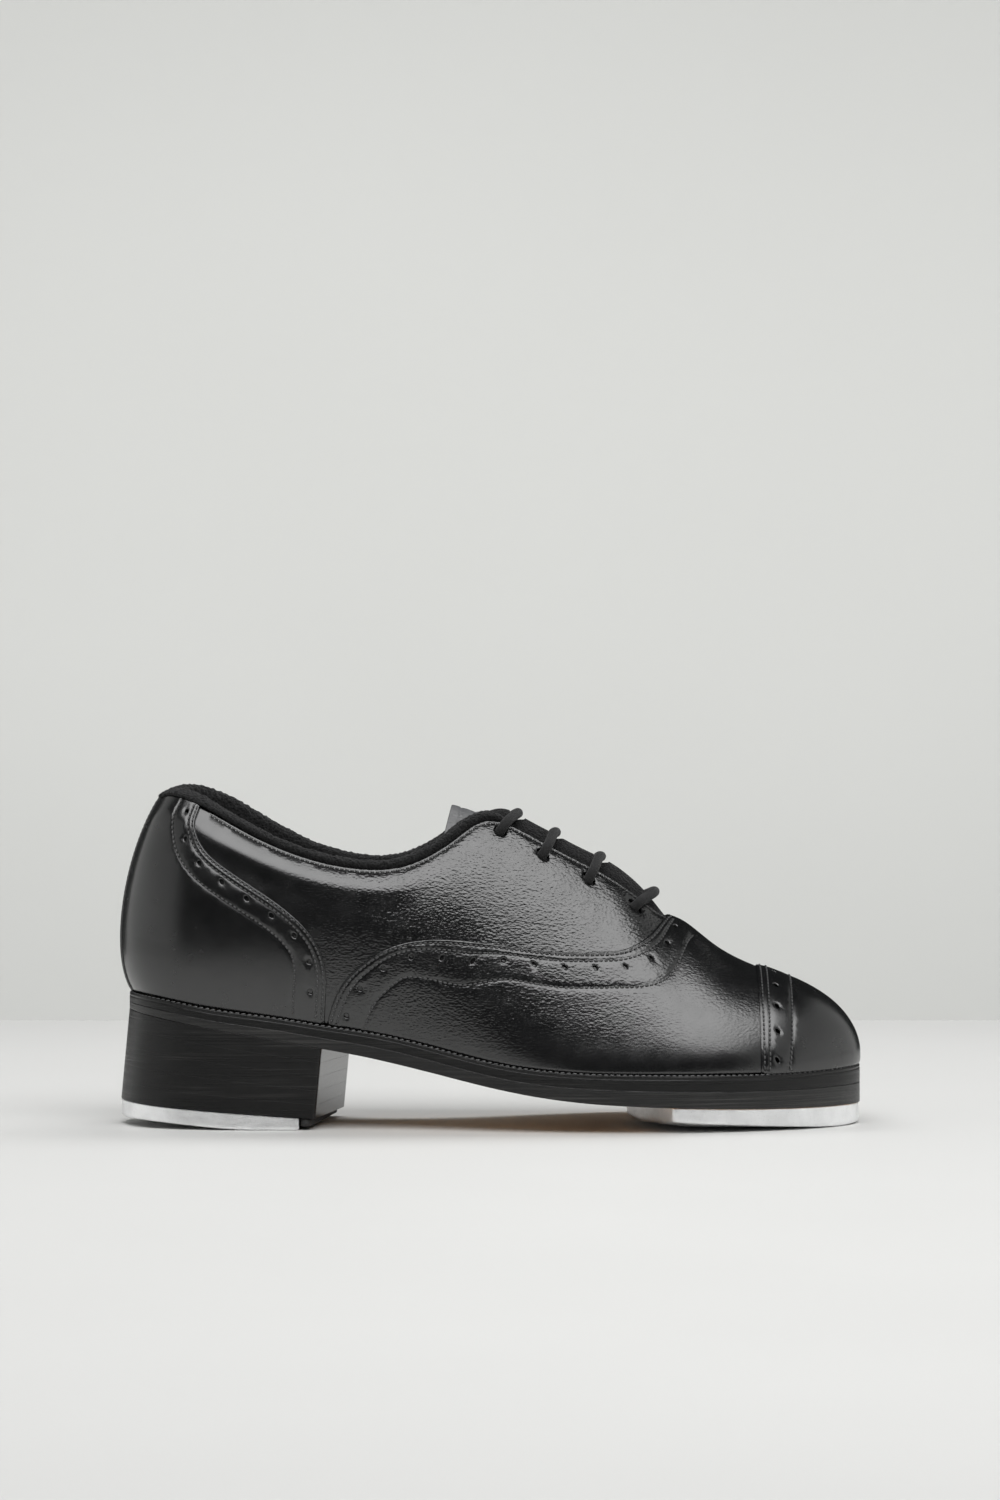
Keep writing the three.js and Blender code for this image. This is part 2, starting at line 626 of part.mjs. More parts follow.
function tapUnderside(x, y) {
  const side = Math.max(Math.abs(y - 1) - TAP_FLAT, 0);
  const rear = Math.max(80 - x, 0) / 28;
  const front = Math.max(x - 128, 0) / 12;
  return 0.0032 * side * side + 3.2 * rear * rear + 0.7 * front * front;
}

function makeToeTap() {
  const top = (x) => groundZ(x) - GAP;
  const slab = heightBlock([48, 144], [-52, 52], [12, 9], top, tapUnderside);
  const behind = [...smoothLine(TAP_REAR, 14), [170, 52], [170, -52]];
  const edge = solePlate(SOLE_OVERHANG - 0.4, level(() => 30), level(() => -5));
  const tap = slab.intersect(edge).intersect(planPrism(behind, -5, 30));
  add('toe_tap', drillForScrews(tap, TOE_SCREWS), 'aluminium');
}

function makeScrews() {
  TOE_SCREWS.forEach(([x, y], i) => add(`toe_tap_screw_${i + 1}`, screw(x, y), 'steel'));
  HEEL_SCREWS.forEach(([x, y, lift], i) => add(`heel_tap_screw_${i + 1}`, screw(x, y, lift), 'steel'));
}

// ---- Lace ---------------------------------------------------------------------------------

// The rib and height share of the surface point that has the given x and z on one side.
function locate(side, x, z) {
  let best = [10, 0.9];
  let reach = 4;
  for (let round = 0; round < 14; round += 1) {
    let error = Infinity;
    const [midK, midT] = best;
    for (let i = -4; i <= 4; i += 1) {
      for (let j = -4; j <= 4; j += 1) {
        const k = midK + (i * reach) / 4;
        const t = Math.min(midT + (j * reach) / 40, 1);
        const p = surfacePoint(side * k, t);
        const miss = (p.x - x) ** 2 + (p.z - z) ** 2;
        if (miss < error) {
          error = miss;
          best = [k, t];
        }
      }
    }
    reach *= 0.6;
  }
  return { k: side * best[0], t: best[1] };
}

// The frame of a lacing hole: its place on the surface, the way out and the way up the slope.
function eyeletFrame(side, row) {
  const { k, t } = locate(side, ...EYELETS[row]);
  const at = surfacePoint(k, t);
  const out = surfaceNormal(k, t);
  const up = surfacePoint(k, Math.min(t + 0.03, 1)).sub(surfacePoint(k, t - 0.03)).normalize();
  return { k, t, at, out, up };
}

const eyelets = { outer: EYELETS.map((_, i) => eyeletFrame(-1, i)), inner: EYELETS.map((_, i) => eyeletFrame(1, i)) };
const LACE_OUTSIDE = -1.5 + 0.5 + LACE_RADIUS; // centre of the lace where it lies on the quarter
const LACE_INSIDE = -3.9 - LACE_ROOM - LACE_RADIUS; // and where it lies under the lining

function lift(frame, along, amount, height) {
  return frame.at.clone().addScaledVector(along, amount).addScaledVector(frame.out, height);
}

// The points that take the lace through a hole, from the outside in: it comes from a shoulder of
// the bar and goes on inside with the given heading.
function throughHole(frame, shoulder, heading) {
  const flat = (v) => v.addScaledVector(frame.out, -v.dot(frame.out)).normalize();
  const inward = flat(heading.clone());
  const upward = flat(shoulder.clone().sub(frame.at));
  return [
    lift(frame, upward, 3.6, LACE_OUTSIDE),
    lift(frame, upward, 1.5, LACE_OUTSIDE - 0.5),
    lift(frame, upward, 0, -2.4),
    lift(frame, inward, 1.5, LACE_INSIDE + 1),
    lift(frame, inward, 4, LACE_INSIDE),
  ];
}

function bar(row) {
  const [x, z] = BAR_CRESTS[row];
  const shoulder = (y) => new THREE.Vector3(x - 1, y, z - 0.5);
  return [shoulder(-6), new THREE.Vector3(x, 0, z), shoulder(6)];
}

// A point under the lining between two holes, moved down the slope by an amount.
function underside(side, from, to, share, down) {
  const a = eyelets[side][from];
  const b = eyelets[side][to];
  const k = THREE.MathUtils.lerp(a.k, b.k, share);
  const t = THREE.MathUtils.lerp(a.t, b.t, share) - down / 100;
  return surfacePoint(k, t).addScaledVector(surfaceNormal(k, t), LACE_INSIDE);
}

function lacePoints() {
  const { outer, inner } = eyelets;
  const towards = (side, from, to) => eyelets[side][to].at.clone().sub(eyelets[side][from].at);
  const downOf = (frame) => frame.up.clone().negate();
  const cross = (row, startSide, startHeading, endHeading) => {
    const endSide = startSide === 'outer' ? 'inner' : 'outer';
    const middle = startSide === 'outer' ? bar(row) : bar(row).reverse();
    const start = throughHole(eyelets[startSide][row], middle[0], startHeading).reverse();
    const end = throughHole(eyelets[endSide][row], middle[2], endHeading);
    return [...start, ...middle, ...end];
  };
  const skip = towards('outer', 1, 3).add(downOf(outer[1]).multiplyScalar(16));
  const skipBack = towards('outer', 3, 1).add(downOf(outer[3]).multiplyScalar(16));
  return [
    underside('outer', 0, 0, 0, 24),
    underside('outer', 0, 0, 0, 14),
    ...cross(0, 'outer', downOf(outer[0]), towards('inner', 0, 1)),
    underside('inner', 0, 1, 0.5, 0),
    ...cross(1, 'inner', towards('inner', 1, 0), skip),
    underside('outer', 1, 3, 0.3, 9),
    underside('outer', 1, 3, 0.5, 10),
    underside('outer', 1, 3, 0.7, 9),
    ...cross(3, 'outer', skipBack, towards('inner', 3, 2)),
    underside('inner', 3, 2, 0.5, 0),
    ...cross(2, 'inner', towards('inner', 2, 3), towards('outer', 2, 1)),
    underside('outer', 2, 1, 0.42, -1),
  ];
}

// A round cord of the given radius along the lace's path.
function laceTube(radius) {
  const path = new THREE.CatmullRomCurve3(lacePoints(), false, 'centripetal');
  const section = new THREE.Shape();
  section.absarc(0, 0, radius, 0, 2 * Math.PI, false);
  const geometry = new THREE.ExtrudeGeometry(section, { steps: 96, curveSegments: 3, extrudePath: path });
  return solidOf(geometry);
}

// ---- Upper --------------------------------------------------------------------------------

function punchEyelets(solid, frames) {
  let punched = solid;
  for (const { at, out } of frames) {
    const tool = new THREE.CylinderGeometry(EYELET_RADIUS, EYELET_RADIUS, 12, 10);
    tool.applyQuaternion(new THREE.Quaternion().setFromUnitVectors(new THREE.Vector3(0, 1, 0), out));
    tool.translate(at.x - out.x * 3, at.y - out.y * 3, at.z - out.z * 3);
    punched = punched.subtract(solidOf(tool));
  }
  return punched;
}

const FAR = 200;
const SIDES = { lateral: [-90, -0.15], medial: [0.15, 90] };

function makeUpper() {
  const cover = upperLayer(0, -LEATHER);
  const under = upperLayer(-LEATHER - GAP, -LEATHER - GAP - QUARTER_LEATHER);
  const counterLine = smoothLine(COUNTER_EDGE, 36);
  const wingLine = smoothLine(WING_EDGE, 48);
  const counterRegion = [...counterLine, [-FAR, 25], [-FAR, 132]];
  const quarterBack = counterLine.map(([x, z]) => [x - UNDERLAP, z - UNDERLAP / 2]);
  const quarterLow = wingLine.map(([x, z]) => [x, z - UNDERLAP]).filter(([x]) => x > -48);
  const quarterRegion = [
    [quarterBack[0][0], FAR],
    ...quarterBack.filter(([, z]) => z > 62),
    [-74, 30],
    [-50, 30],
    ...quarterLow,
    [85, 95],
    [85, FAR],
  ];
  const strip = [[-170, -3.5, 40], [-112, 9.5, 140]];
  const stripRoom = [[-170, -3.8, 30], [-112, 9.8, 150]];

  for (const [side, [fromY, toY]] of Object.entries(SIDES)) {
    const counter = cover.intersect(sidePrism(counterRegion, fromY, toY)).subtract(block(...stripRoom));
    add(`counter_${side}`, counter, 'leather');
    const quarter = under.intersect(sidePrism(quarterRegion, fromY, toY));
    add(`quarter_${side}`, punchEyelets(quarter, eyelets[side === 'lateral' ? 'outer' : 'inner']), 'leather');
  }
  add('back_strip', cover.intersect(block(...strip)), 'leather');

  const vampRegion = [...wingLine, [PUFF_EDGE_X - 0.2, 90], [PUFF_EDGE_X - 0.2, 5], [-61.2, 5]];
  add('vamp', cover.intersect(sidePrism(vampRegion, -90, 90)), 'leather');
  add('toe_puff', cover.intersect(block([PUFF_EDGE_X + 0.2, -60, 0], [FAR, 60, 90])), 'board');
  const cap = upperLayer(GAP + LEATHER, GAP);
  add('toe_cap', cap.intersect(block([CAP_EDGE_X, -60, 0], [FAR, 60, 90])), 'leather');

  const stiffenerFront = quarterBack.filter(([, z]) => z > 62 && z < 106).map(([x, z]) => [x - 0.6, z - 0.3]);
  const stiffenerRegion = [[-FAR, 106], ...stiffenerFront, [-76, 30], [-FAR, 30]];
  add('heel_stiffener', under.intersect(sidePrism(stiffenerRegion, -60, 60)), 'board');
}

// The oval section of the collar padding around rib k: half height and half thickness. It stands
// upright behind the top line.
function collarRing(k, halfHeight, halfThickness) {
  const top = surfacePoint(k, 1);
  const along = surfacePoint(k + 0.05, 1).sub(surfacePoint(k - 0.05, 1)).normalize();
  const out = new THREE.Vector3(-along.y, along.x, 0).normalize();
  const up = along.clone().cross(out);
  const centre = top.clone().addScaledVector(out, -ROLL_CENTRE.inward).addScaledVector(up, -ROLL_CENTRE.down);
  const ring = [];
  for (let i = 0; i < 8; i += 1) {
    const turn = (i * Math.PI) / 4;
    ring.push(centre.clone()
      .addScaledVector(up, Math.cos(turn) * halfHeight)
      .addScaledVector(out, Math.sin(turn) * halfThickness));
  }
  return ring;
}

function collarRoll(halfHeight, halfThickness, overrun) {
  const rings = [collarRing(-COLLAR_END - overrun, halfHeight, halfThickness)];
  for (let k = -COLLAR_END + 1; k < COLLAR_END; k += 1) {
    rings.push(collarRing(k, halfHeight, halfThickness));
  }
  rings.push(collarRing(COLLAR_END + overrun, halfHeight, halfThickness));
  return loft(rings);
}

function makeLinings() {
  const outer = -LEATHER - QUARTER_LEATHER - 2 * GAP;
  const roomForRoll = collarRoll(6, 4.1, 0.25);
  const lining = upperLayer(outer, outer - LINING).subtract(roomForRoll);
  const split = 60;
  const rear = lining.intersect(block([-FAR, -90, 0], [split - 0.15, 90, FAR]));
  add('lining_quarters', punchEyelets(rear, [...eyelets.outer, ...eyelets.inner]), 'fabric');
  add('lining_vamp', lining.intersect(block([split + 0.15, -90, 0], [FAR, 90, 120])), 'fabric');
  add('collar_padding', collarRoll(4.6, 2.2, 0), 'fabric');
}

// ---- Tongue -------------------------------------------------------------------------------

// An arched strip of the tongue between two places along its crest.
function tongueStrip(from, to, steps, thicknessOf) {
  const across = 8;
  const above = [];
  const below = [];
  const quads = [];
  for (let i = 0; i <= steps; i += 1) {
    const x = THREE.MathUtils.lerp(from, to, i / steps);
    for (let j = 0; j <= across; j += 1) {
      const y = THREE.MathUtils.lerp(-TONGUE.halfWidth, TONGUE.halfWidth, j / across);
      const drop = Math.hypot(TONGUE.slope * y, TONGUE.round) - TONGUE.round;
      const top = new THREE.Vector3(x - 0.25 * drop, y, tongueCrest(x) - drop);
      above.push(top);
      below.push(top.clone().setZ(top.z - thicknessOf(x)));
      if (i < steps && j < across) {
        const a = i * (across + 1) + j;
        quads.push([a, a + across + 1, a + across + 2, a + 1]);
      }
    }
  }
  return thicken(above, below, quads);
}

// The tongue cut free of the lace at rest and all the way down its swing.
function clearOfLace(solid) {
  const lace = laceTube(LACE_RADIUS + LACE_ROOM).translate([-TONGUE_HINGE.x, 0, -TONGUE_HINGE.z]);
  let cut = solid;
  for (let angle = 0; angle <= TONGUE_HINGE.swing; angle += 1) {
    const swung = lace.rotate([0, angle, 0]).translate([TONGUE_HINGE.x, 0, TONGUE_HINGE.z]);
    cut = largest(cut.subtract(swung));
  }
  return cut;
}

function makeTongue() {
  const shell = upperLayer(4, -3.7 - LACE_ROOM, 0.012);
  const roll = collarRoll(5.4, 3.1, 0.12);
  const pad = tongueStrip(TONGUE.tipX + GAP, 80, 13, (x) => (x > 60 ? 3 : TONGUE.pad));
  const bare = clearOfLace(pad.subtract(shell).subtract(roll));
  add('tongue_padding', bare, 'fabric');
  const tip = tongueStrip(TONGUE.backX, TONGUE.tipX, 2, () => TONGUE.tip);
  add('tongue_tip', tip.subtract(roll).subtract(shell), 'leather');
}

makeSole();
makeHeel();
makeToeTap();
makeScrews();
makeUpper();
makeLinings();
makeTongue();
add('lace', laceTube(LACE_RADIUS), 'lace');

export default shoe;
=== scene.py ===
"""Tap shoe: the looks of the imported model. The frame is in metres, +X to the toe, +Z up."""
import math

import bmesh
import bpy
import numpy as np
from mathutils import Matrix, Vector, geometry, kdtree, noise


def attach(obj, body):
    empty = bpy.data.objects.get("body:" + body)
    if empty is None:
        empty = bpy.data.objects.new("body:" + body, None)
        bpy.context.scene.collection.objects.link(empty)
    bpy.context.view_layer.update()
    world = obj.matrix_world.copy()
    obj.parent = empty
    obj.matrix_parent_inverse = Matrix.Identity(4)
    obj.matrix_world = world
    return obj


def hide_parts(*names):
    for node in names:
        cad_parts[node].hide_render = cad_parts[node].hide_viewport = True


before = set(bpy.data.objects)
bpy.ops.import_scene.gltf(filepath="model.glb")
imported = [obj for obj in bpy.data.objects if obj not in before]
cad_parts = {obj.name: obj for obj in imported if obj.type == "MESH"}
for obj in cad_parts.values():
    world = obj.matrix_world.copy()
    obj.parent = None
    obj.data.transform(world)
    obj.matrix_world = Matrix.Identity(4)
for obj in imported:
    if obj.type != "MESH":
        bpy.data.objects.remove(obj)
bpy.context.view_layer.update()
MM = 0.001

# ---- Dimensions in millimetres -------------------------------------------------------------

LEATHER = 1.2
UNDER = -1.25            # outer face of what lies under a panel
QUARTER_LEATHER = 1.15
LINING = 0.8
SOLE_OVERHANG = 1.5
WELT = 1.8
MIDSOLE_SHARE = 0.38     # of the double sole
SEAM = 0.03              # the gap between its layers
HEEL_LIFTS = 5
HEEL_RIBS = 9            # the heel's outline is taken up to this rib
HEEL_SETBACK = 0.094     # how much it leans back for each millimetre down
HEEL_BACK, HEEL_FRONT = (-140.0, 9.7), (-64.0, 4.3)
BREAST_X, BREAST_Y, BREAST_TURN = -62.6, -32.0, math.radians(8.5)    # the heel's front plane
RIBS = 23                # on each side of the back seam
RIDGE_START = 14         # from this rib on both sides meet on a ridge
COLLAR_END = 9           # the rib at which the padded collar ends
LACE_RADIUS = 1.9
EYELET_HOLE = 2.35       # radius of a hole for the lace
SCREW_HEAD, SCREW_SHANK, SCREW_SIDES = 3.2, 1.4, 64      # radii and count
SINK_RADIUS, SINK_DEPTH, SINK_LIP = 3.6, 1.6, 0.35       # recesses for the screws' heads
HOLE_LIP = 0.45          # the width of the rounding at punched holes
STITCH_PITCH = 1.9
WELT_PITCH = 2.3
PANEL_THREAD = (1.5, 0.7, 0.8)       # length, width and height of a stitch
STRIP_THREAD = (1.45, 0.5, 0.45)
WELT_THREAD = (1.9, 0.6, 0.8)
PANEL_CELL = 1.8         # mesh size of the leather panels
LINE_STEP = 1.2          # and of the lines that bound them
ROUND_SIDES = 28         # of the lace and of the recesses for the screws
SIDES = (-1, 1)          # outer and inner side of the foot
WORD = {-1: "lateral", 1: "medial"}

FEATHER = [
    (-142, 50.2), (-122, 48), (-107, 45.3), (-90, 43), (-77, 41.2), (-63, 38.9), (-46, 36.3),
    (-28, 32.6), (-10, 28), (9, 24.2), (27, 22.4), (55, 21.5), (80, 21.2), (100, 21), (120, 21.3),
    (142, 22.4),
]
GROUND_FACE = [
    (-142, 44.3), (-120, 40.6), (-101, 37.1), (-80, 33.6), (-62, 30.2), (-50, 28), (-37, 25.2),
    (-19, 21), (0, 16.6), (18, 13.3), (36, 11.2), (55, 10), (75, 9.2), (107, 8.3), (142, 7.9),
]

# The ribs of the last: foot x, foot y, lean, rise, top x, top y, top z, heading, fall, reach.
BACK_RIB = (-135.6, 3, 36, 15.5, -125.1, 2, 123.4, 90, 57, 25.7)
OUTER_RIBS = [
    (-132.7, -10.8, 33, 15.5, -121.8, -8.8, 124.6, 60, 54, 24),
    (-124.6, -21.8, 28, 16, -114.5, -15, 123.4, 38, 54, 22),
    (-110, -28.8, 22, 17, -104, -19.6, 118.4, 22, 53, 19),
    (-90, -31.2, 17, 17, -88, -23, 109.8, 12, 50, 16.5),
    (-68, -31, 12, 17, -68, -24.2, 101.8, 4, 48, 15.5),
    (-46, -31.3, 8, 18, -48, -24.2, 98, 0, 48, 15.5),
    (-26, -33.8, 5, 20, -30, -22.8, 99.8, -6, 49, 18),
    (-8, -38, 4, 22, -13, -18, 109.3, -10, 50, 24),
    (9, -41.8, 3, 19, 1.1, -12.5, 115.7, -8, 53, 27),
    (30, -45, 1, 9.5, 20.4, -11.5, 107.4, 0, 45, 19),
    (48, -45.8, 0, 8.5, 37.3, -10.8, 98.7, 0, 45, 18),
    (62, -45.2, 2, 9.5, 52, -9.6, 90, 0, 42, 19),
    (73, -43.8, 5, 12, 64, -6, 81, 0, 32, 18),
    (83, -41.6, 7, 13.5, 73, 0, 76.6, 0, 8, 16),
    (93, -38.6, 8, 13.5, 84, 0.4, 68, 0, 0, 16.5),
    (102, -35, 9, 13.5, 95, 0.8, 61.6, 0, 0, 17.5),
    (111, -30.6, 10.5, 13.5, 106, 1.3, 57.1, 0, 0, 17.2),
    (119.5, -25.3, 12, 13.5, 117, 1.9, 52.5, 0, 0, 15),
    (127, -19.2, 12, 12, 126.6, 2.5, 46.9, 0, 0, 12),
    (132.8, -12.8, 12, 9.6, 133.3, 3.1, 40.6, 0, 0, 8.8),
    (136.6, -6.4, 12, 6.3, 137.3, 3.6, 34, 0, 0, 5.5),
    (138.2, -1.2, 12, 3, 138.8, 3.9, 28, 0, 0, 2.8),
]
INNER_RIBS = [
    (-131.2, 15.6, 33, 15.5, -120.8, 12, 125.4, 60, 54, 24),
    (-121.8, 25.6, 28, 16, -112.5, 17.6, 125, 38, 54, 22),
    (-107, 30, 22, 17, -101, 21, 121, 22, 53, 19),
    (-88, 29, 17, 17, -86, 23.2, 112.4, 12, 51, 17),
    (-67, 26, 16, 18, -67, 24, 103, 4, 50, 15.5),
    (-46, 22.5, 18, 19, -48, 24, 98.5, 0, 50, 15.5),
    (-26, 21, 18, 20, -30, 22.8, 100.2, -6, 51, 18),
    (-8, 23.8, 14, 22, -13, 18, 109.2, -10, 52, 24),
    (9, 29.8, 9, 23, 1.1, 12.5, 115.7, -8, 56, 28),
    (30, 38, 4, 15, 20.4, 11.5, 107.4, 0, 48, 23),
    (48, 43, 3, 12, 37.3, 10.8, 98.7, 0, 45, 20),
    (63, 45.4, 3, 11, 52, 9.6, 90, 0, 42, 20),
    (75, 45.8, 5, 12, 64, 6, 81, 0, 32, 18),
    (86, 45, 7, 13.5, 73, 0, 76.6, 0, 8, 16),
    (96.5, 43, 8, 13.5, 84, 0.4, 68, 0, 0, 17),
    (106, 40, 11, 15, 95, 0.8, 61.6, 0, 0, 18),
    (115, 35.9, 12, 14.5, 106, 1.3, 57.1, 0, 0, 17.4),
    (122.8, 31, 12, 13.5, 117, 1.9, 52.5, 0, 0, 15.3),
    (129.3, 25.2, 12, 12, 126.6, 2.5, 46.9, 0, 0, 12.3),
    (134.2, 18.9, 12, 9.6, 133.3, 3.1, 40.6, 0, 0, 8.8),
    (137.2, 12.8, 12, 6.3, 137.3, 3.6, 34, 0, 0, 5.2),
    (138.3, 8.2, 12, 3, 138.8, 3.9, 28, 0, 0, 2.5),
]
TOE_TIP = (138.6, 3.6, 12, 0, 138.6, 3.6, 22.8, 0, 0, 0)

# Seams as seen from the side: x, z.
COUNTER_EDGE = [
    (-108.5, 126), (-109, 121.4), (-110.9, 114), (-107.4, 104.8), (-100.5, 98.6), (-90.2, 91.7),
    (-79.9, 84.8), (-71.6, 77.9), (-66.8, 72.4), (-63.3, 66.2), (-61.4, 58), (-61.6, 48), (-62, 39),
]
WING_EDGE = [
    (-61, 39.5), (-59.1, 46.3), (-54.6, 55.3), (-48.3, 61.6), (-40.1, 67), (-32, 69.9),
    (-23.9, 71.1), (-13.1, 71.1), (-0.4, 69.7), (13.1, 67.9), (26.6, 66.6), (40.2, 66.4),
    (49.2, 67.2), (55.5, 69.7), (60.9, 73.3), (65.4, 77.8), (68.6, 80.2),
]
CAP_EDGE_X = 100.4
EYELETS = [(3.8, 111.7), (19.9, 102.7), (37.2, 93.7), (54.9, 83.5)]


# ---- Curves and the surface of the upper ---------------------------------------------------

def cubic(xs, ys):
    """A natural cubic spline through ys at xs, for numbers or arrays."""
    xs = np.asarray(xs, float)
    ys = np.asarray(ys, float)
    count = len(xs)
    gap = np.diff(xs)
    matrix = np.eye(count)
    right = np.zeros(count)
    slope = np.diff(ys) / gap
    for i in range(1, count - 1):
        matrix[i, i - 1:i + 2] = gap[i - 1], 2 * (gap[i - 1] + gap[i]), gap[i]
        right[i] = 6 * (slope[i] - slope[i - 1])
    bend = np.linalg.solve(matrix, right)

    def at(x):
        x = np.asarray(x, float)
        i = np.clip(np.searchsorted(xs, x) - 1, 0, count - 2)
        h = gap[i]
        a = (xs[i + 1] - x) / h
        b = 1 - a
        curve = (a ** 3 - a) * bend[i] + (b ** 3 - b) * bend[i + 1]
        return a * ys[i] + b * ys[i + 1] + curve * h * h / 6
    return at


def profile(points):
    return cubic([p[0] for p in points], [p[1] for p in points])


feather = profile(FEATHER)
ground = profile(GROUND_FACE)


def rib_controls(rib, side, outward):
    """The foot, its handle, the top and its handle of one rib, in a row of 12 numbers."""
    foot_x, foot_y, lean, rise, top_x, top_y, top_z, heading, fall, reach = rib
    lean, heading, fall = (math.radians(angle) for angle in (lean, heading, fall))
    tilt = math.sin(lean) * rise
    level = math.cos(fall) * reach
    return [
        foot_x, foot_y, float(feather(foot_x)) + 0.3,
        outward[0] * tilt, outward[1] * tilt, math.cos(lean) * rise,
        top_x, top_y, top_z,
        -math.sin(heading) * level, side * math.cos(heading) * level, -math.sin(fall) * reach,
    ]


def make_ribs():
    row = [TOE_TIP, *reversed(OUTER_RIBS), BACK_RIB, *INNER_RIBS, TOE_TIP]
    table = []
    for i, rib in enumerate(row):
        outward = (1.0, 0.0)
        if 0 < i < len(row) - 1:
            ax = row[i + 1][0] - row[i - 1][0]
            ay = row[i + 1][1] - row[i - 1][1]
            size = math.hypot(ax, ay)
            outward = (-ay / size, ax / size)
        table.append(rib_controls(rib, -1 if i < RIBS else 1, outward))
    index = np.arange(len(row)) - RIBS
    return [cubic(index, column) for column in np.array(table).T]


rib_curves = make_ribs()


def surface(k, t):
    """Points of the outer leather surface: rib k, share t of the way up."""
    k, t = np.broadcast_arrays(np.asarray(k, float), np.asarray(t, float))
    values = np.stack([curve(k) for curve in rib_curves], -1)
    foot, foot_handle = values[..., 0:3], values[..., 3:6]
    top, top_handle = values[..., 6:9], values[..., 9:12]
    t = t[..., None]
    s = 1 - t
    return (s ** 3 * foot + 3 * s * s * t * (foot + foot_handle)
            + 3 * s * t * t * (top + top_handle) + t ** 3 * top)


def normal(k, t):
    k, t = np.broadcast_arrays(np.asarray(k, float), np.asarray(t, float))
    step = 0.02
    inner_k = np.clip(k, -RIBS + 2 * step, RIBS - 2 * step)
    low = np.clip(t - step, 0, None)
    high = np.maximum(np.minimum(t + step, 1.0), low + step)
    along = surface(inner_k + step, t) - surface(inner_k - step, t)
    up = surface(inner_k, high) - surface(inner_k, low)
    n = np.cross(up, along)
    n = n / np.maximum(np.linalg.norm(n, axis=-1, keepdims=True), 1e-9)
    n[np.abs(k) > RIBS - 0.05] = (1, 0, 0)
    ridge = (t >= 1) & (np.abs(k) >= RIDGE_START)
    n[ridge, 1] = 0
    return n / np.maximum(np.linalg.norm(n, axis=-1, keepdims=True), 1e-9)


def lifted(k, t, offset):
    """Surface points moved out by an offset, never below the welt."""
    p = surface(k, t) + normal(k, t) * np.asarray(offset)[..., None]
    p[..., 2] = np.maximum(p[..., 2], feather(p[..., 0]) + 0.05)
    return p


def plan(k, out):
    """The sole's outline in plan at rib k, moved out by an amount."""
    k = np.asarray(k, float)
    foot = np.stack([rib_curves[0](k), rib_curves[1](k)], -1)
    inner = np.clip(k, -RIBS + 0.05, RIBS - 0.05)
    dx = rib_curves[0](inner + 0.05) - rib_curves[0](inner - 0.05)
    dy = rib_curves[1](inner + 0.05) - rib_curves[1](inner - 0.05)
    n = np.stack([-dy, dx], -1)
    n[np.abs(k) > RIBS - 0.01] = (1, 0)
    return foot + n / np.linalg.norm(n, axis=-1, keepdims=True) * out


def unit(v):
    return v / np.maximum(np.linalg.norm(v, axis=-1, keepdims=True), 1e-9)


def run_length(points):
    """The length of a polyline up to each of its points."""
    return np.concatenate([[0], np.cumsum(np.linalg.norm(np.diff(points, axis=0), axis=1))])


# A flat chart of the whole surface in millimetres: U runs from the back seam to the toe, W is
# the distance down from the top line or the ridge, negative on the outer side of the foot.
CHART_K = np.linspace(0, RIBS, 921)
CHART_T = np.linspace(0, 1, 61)


def chart_tables():
    """The chart's U of each rib; for each side the rib lengths, the share of the length below
    each t, and the t below which each share lies."""
    arcs, lengths, shares, heights = [], {}, {}, {}
    for side in SIDES:
        arcs.append(run_length(surface(side * CHART_K, 0.45)))
        grid = surface(side * CHART_K[:, None], CHART_T[None, :])
        run = np.cumsum(np.linalg.norm(np.diff(grid, axis=1), axis=2), axis=1)
        run = np.hstack([np.zeros((len(CHART_K), 1)), run])
        lengths[side] = run[:, -1]
        shares[side] = run / run[:, -1:]
        heights[side] = np.array([np.interp(CHART_T, share, CHART_T) for share in shares[side]])
    return (arcs[0] + arcs[1]) / 2, lengths, shares, heights


CHART_U, CHART_LENGTH, CHART_SHARE, CHART_HEIGHT = chart_tables()


def look_up(tables, k, value):
    """A value from the table of its side, blended between ribs and between shares."""
    k, value = np.broadcast_arrays(np.asarray(k, float), np.asarray(value, float))
    i = np.clip(np.abs(k) / RIBS * (len(CHART_K) - 1), 0, len(CHART_K) - 1.001)
    j = np.clip(value * (len(CHART_T) - 1), 0, len(CHART_T) - 1.001)
    a, b = i.astype(int), j.astype(int)
    u, v = i - a, j - b
    found = [(1 - u) * ((1 - v) * table[a, b] + v * table[a, b + 1])
             + u * ((1 - v) * table[a + 1, b] + v * table[a + 1, b + 1])
             for table in (tables[-1], tables[1])]
    return np.where(k < 0, found[0], found[1])


def u_of(k):
    return np.interp(np.abs(k), CHART_K, CHART_U)


def rib_length(side, u):
    return np.interp(u, CHART_U, CHART_LENGTH[side])


def to_chart(side, k, t):
    u = u_of(k)
    below = look_up(CHART_SHARE, side * np.abs(k), t)
    return np.stack([u, side * (1 - below) * rib_length(side, u)], -1)


def from_chart(uw, side=None):
    """The rib and the height share of chart points; side settles on which side W = 0 lies."""
    uw = np.asarray(uw, float)
    kk = np.interp(uw[..., 0], CHART_U, CHART_K)
    sign = np.where(uw[..., 1] < 0, -1.0, 1.0) if side is None else np.full(kk.shape, float(side))
    length = np.where(sign < 0, rib_length(-1, uw[..., 0]), rib_length(1, uw[..., 0]))
    below = np.clip(1 - np.abs(uw[..., 1]) / length, 0, 1)
    return sign * kk, look_up(CHART_HEIGHT, sign * np.maximum(kk, 1e-6), below)


def scan(side):
    """Places all over one side of the surface, and where they are seen from that side."""
    ks = side * np.linspace(0.05, RIBS - 0.05, 461)
    k, t = np.meshgrid(ks, np.linspace(0, 1, 81), indexing="ij")
    return k.ravel(), t.ravel(), surface(k, t)[..., (0, 2)].reshape(-1, 2)


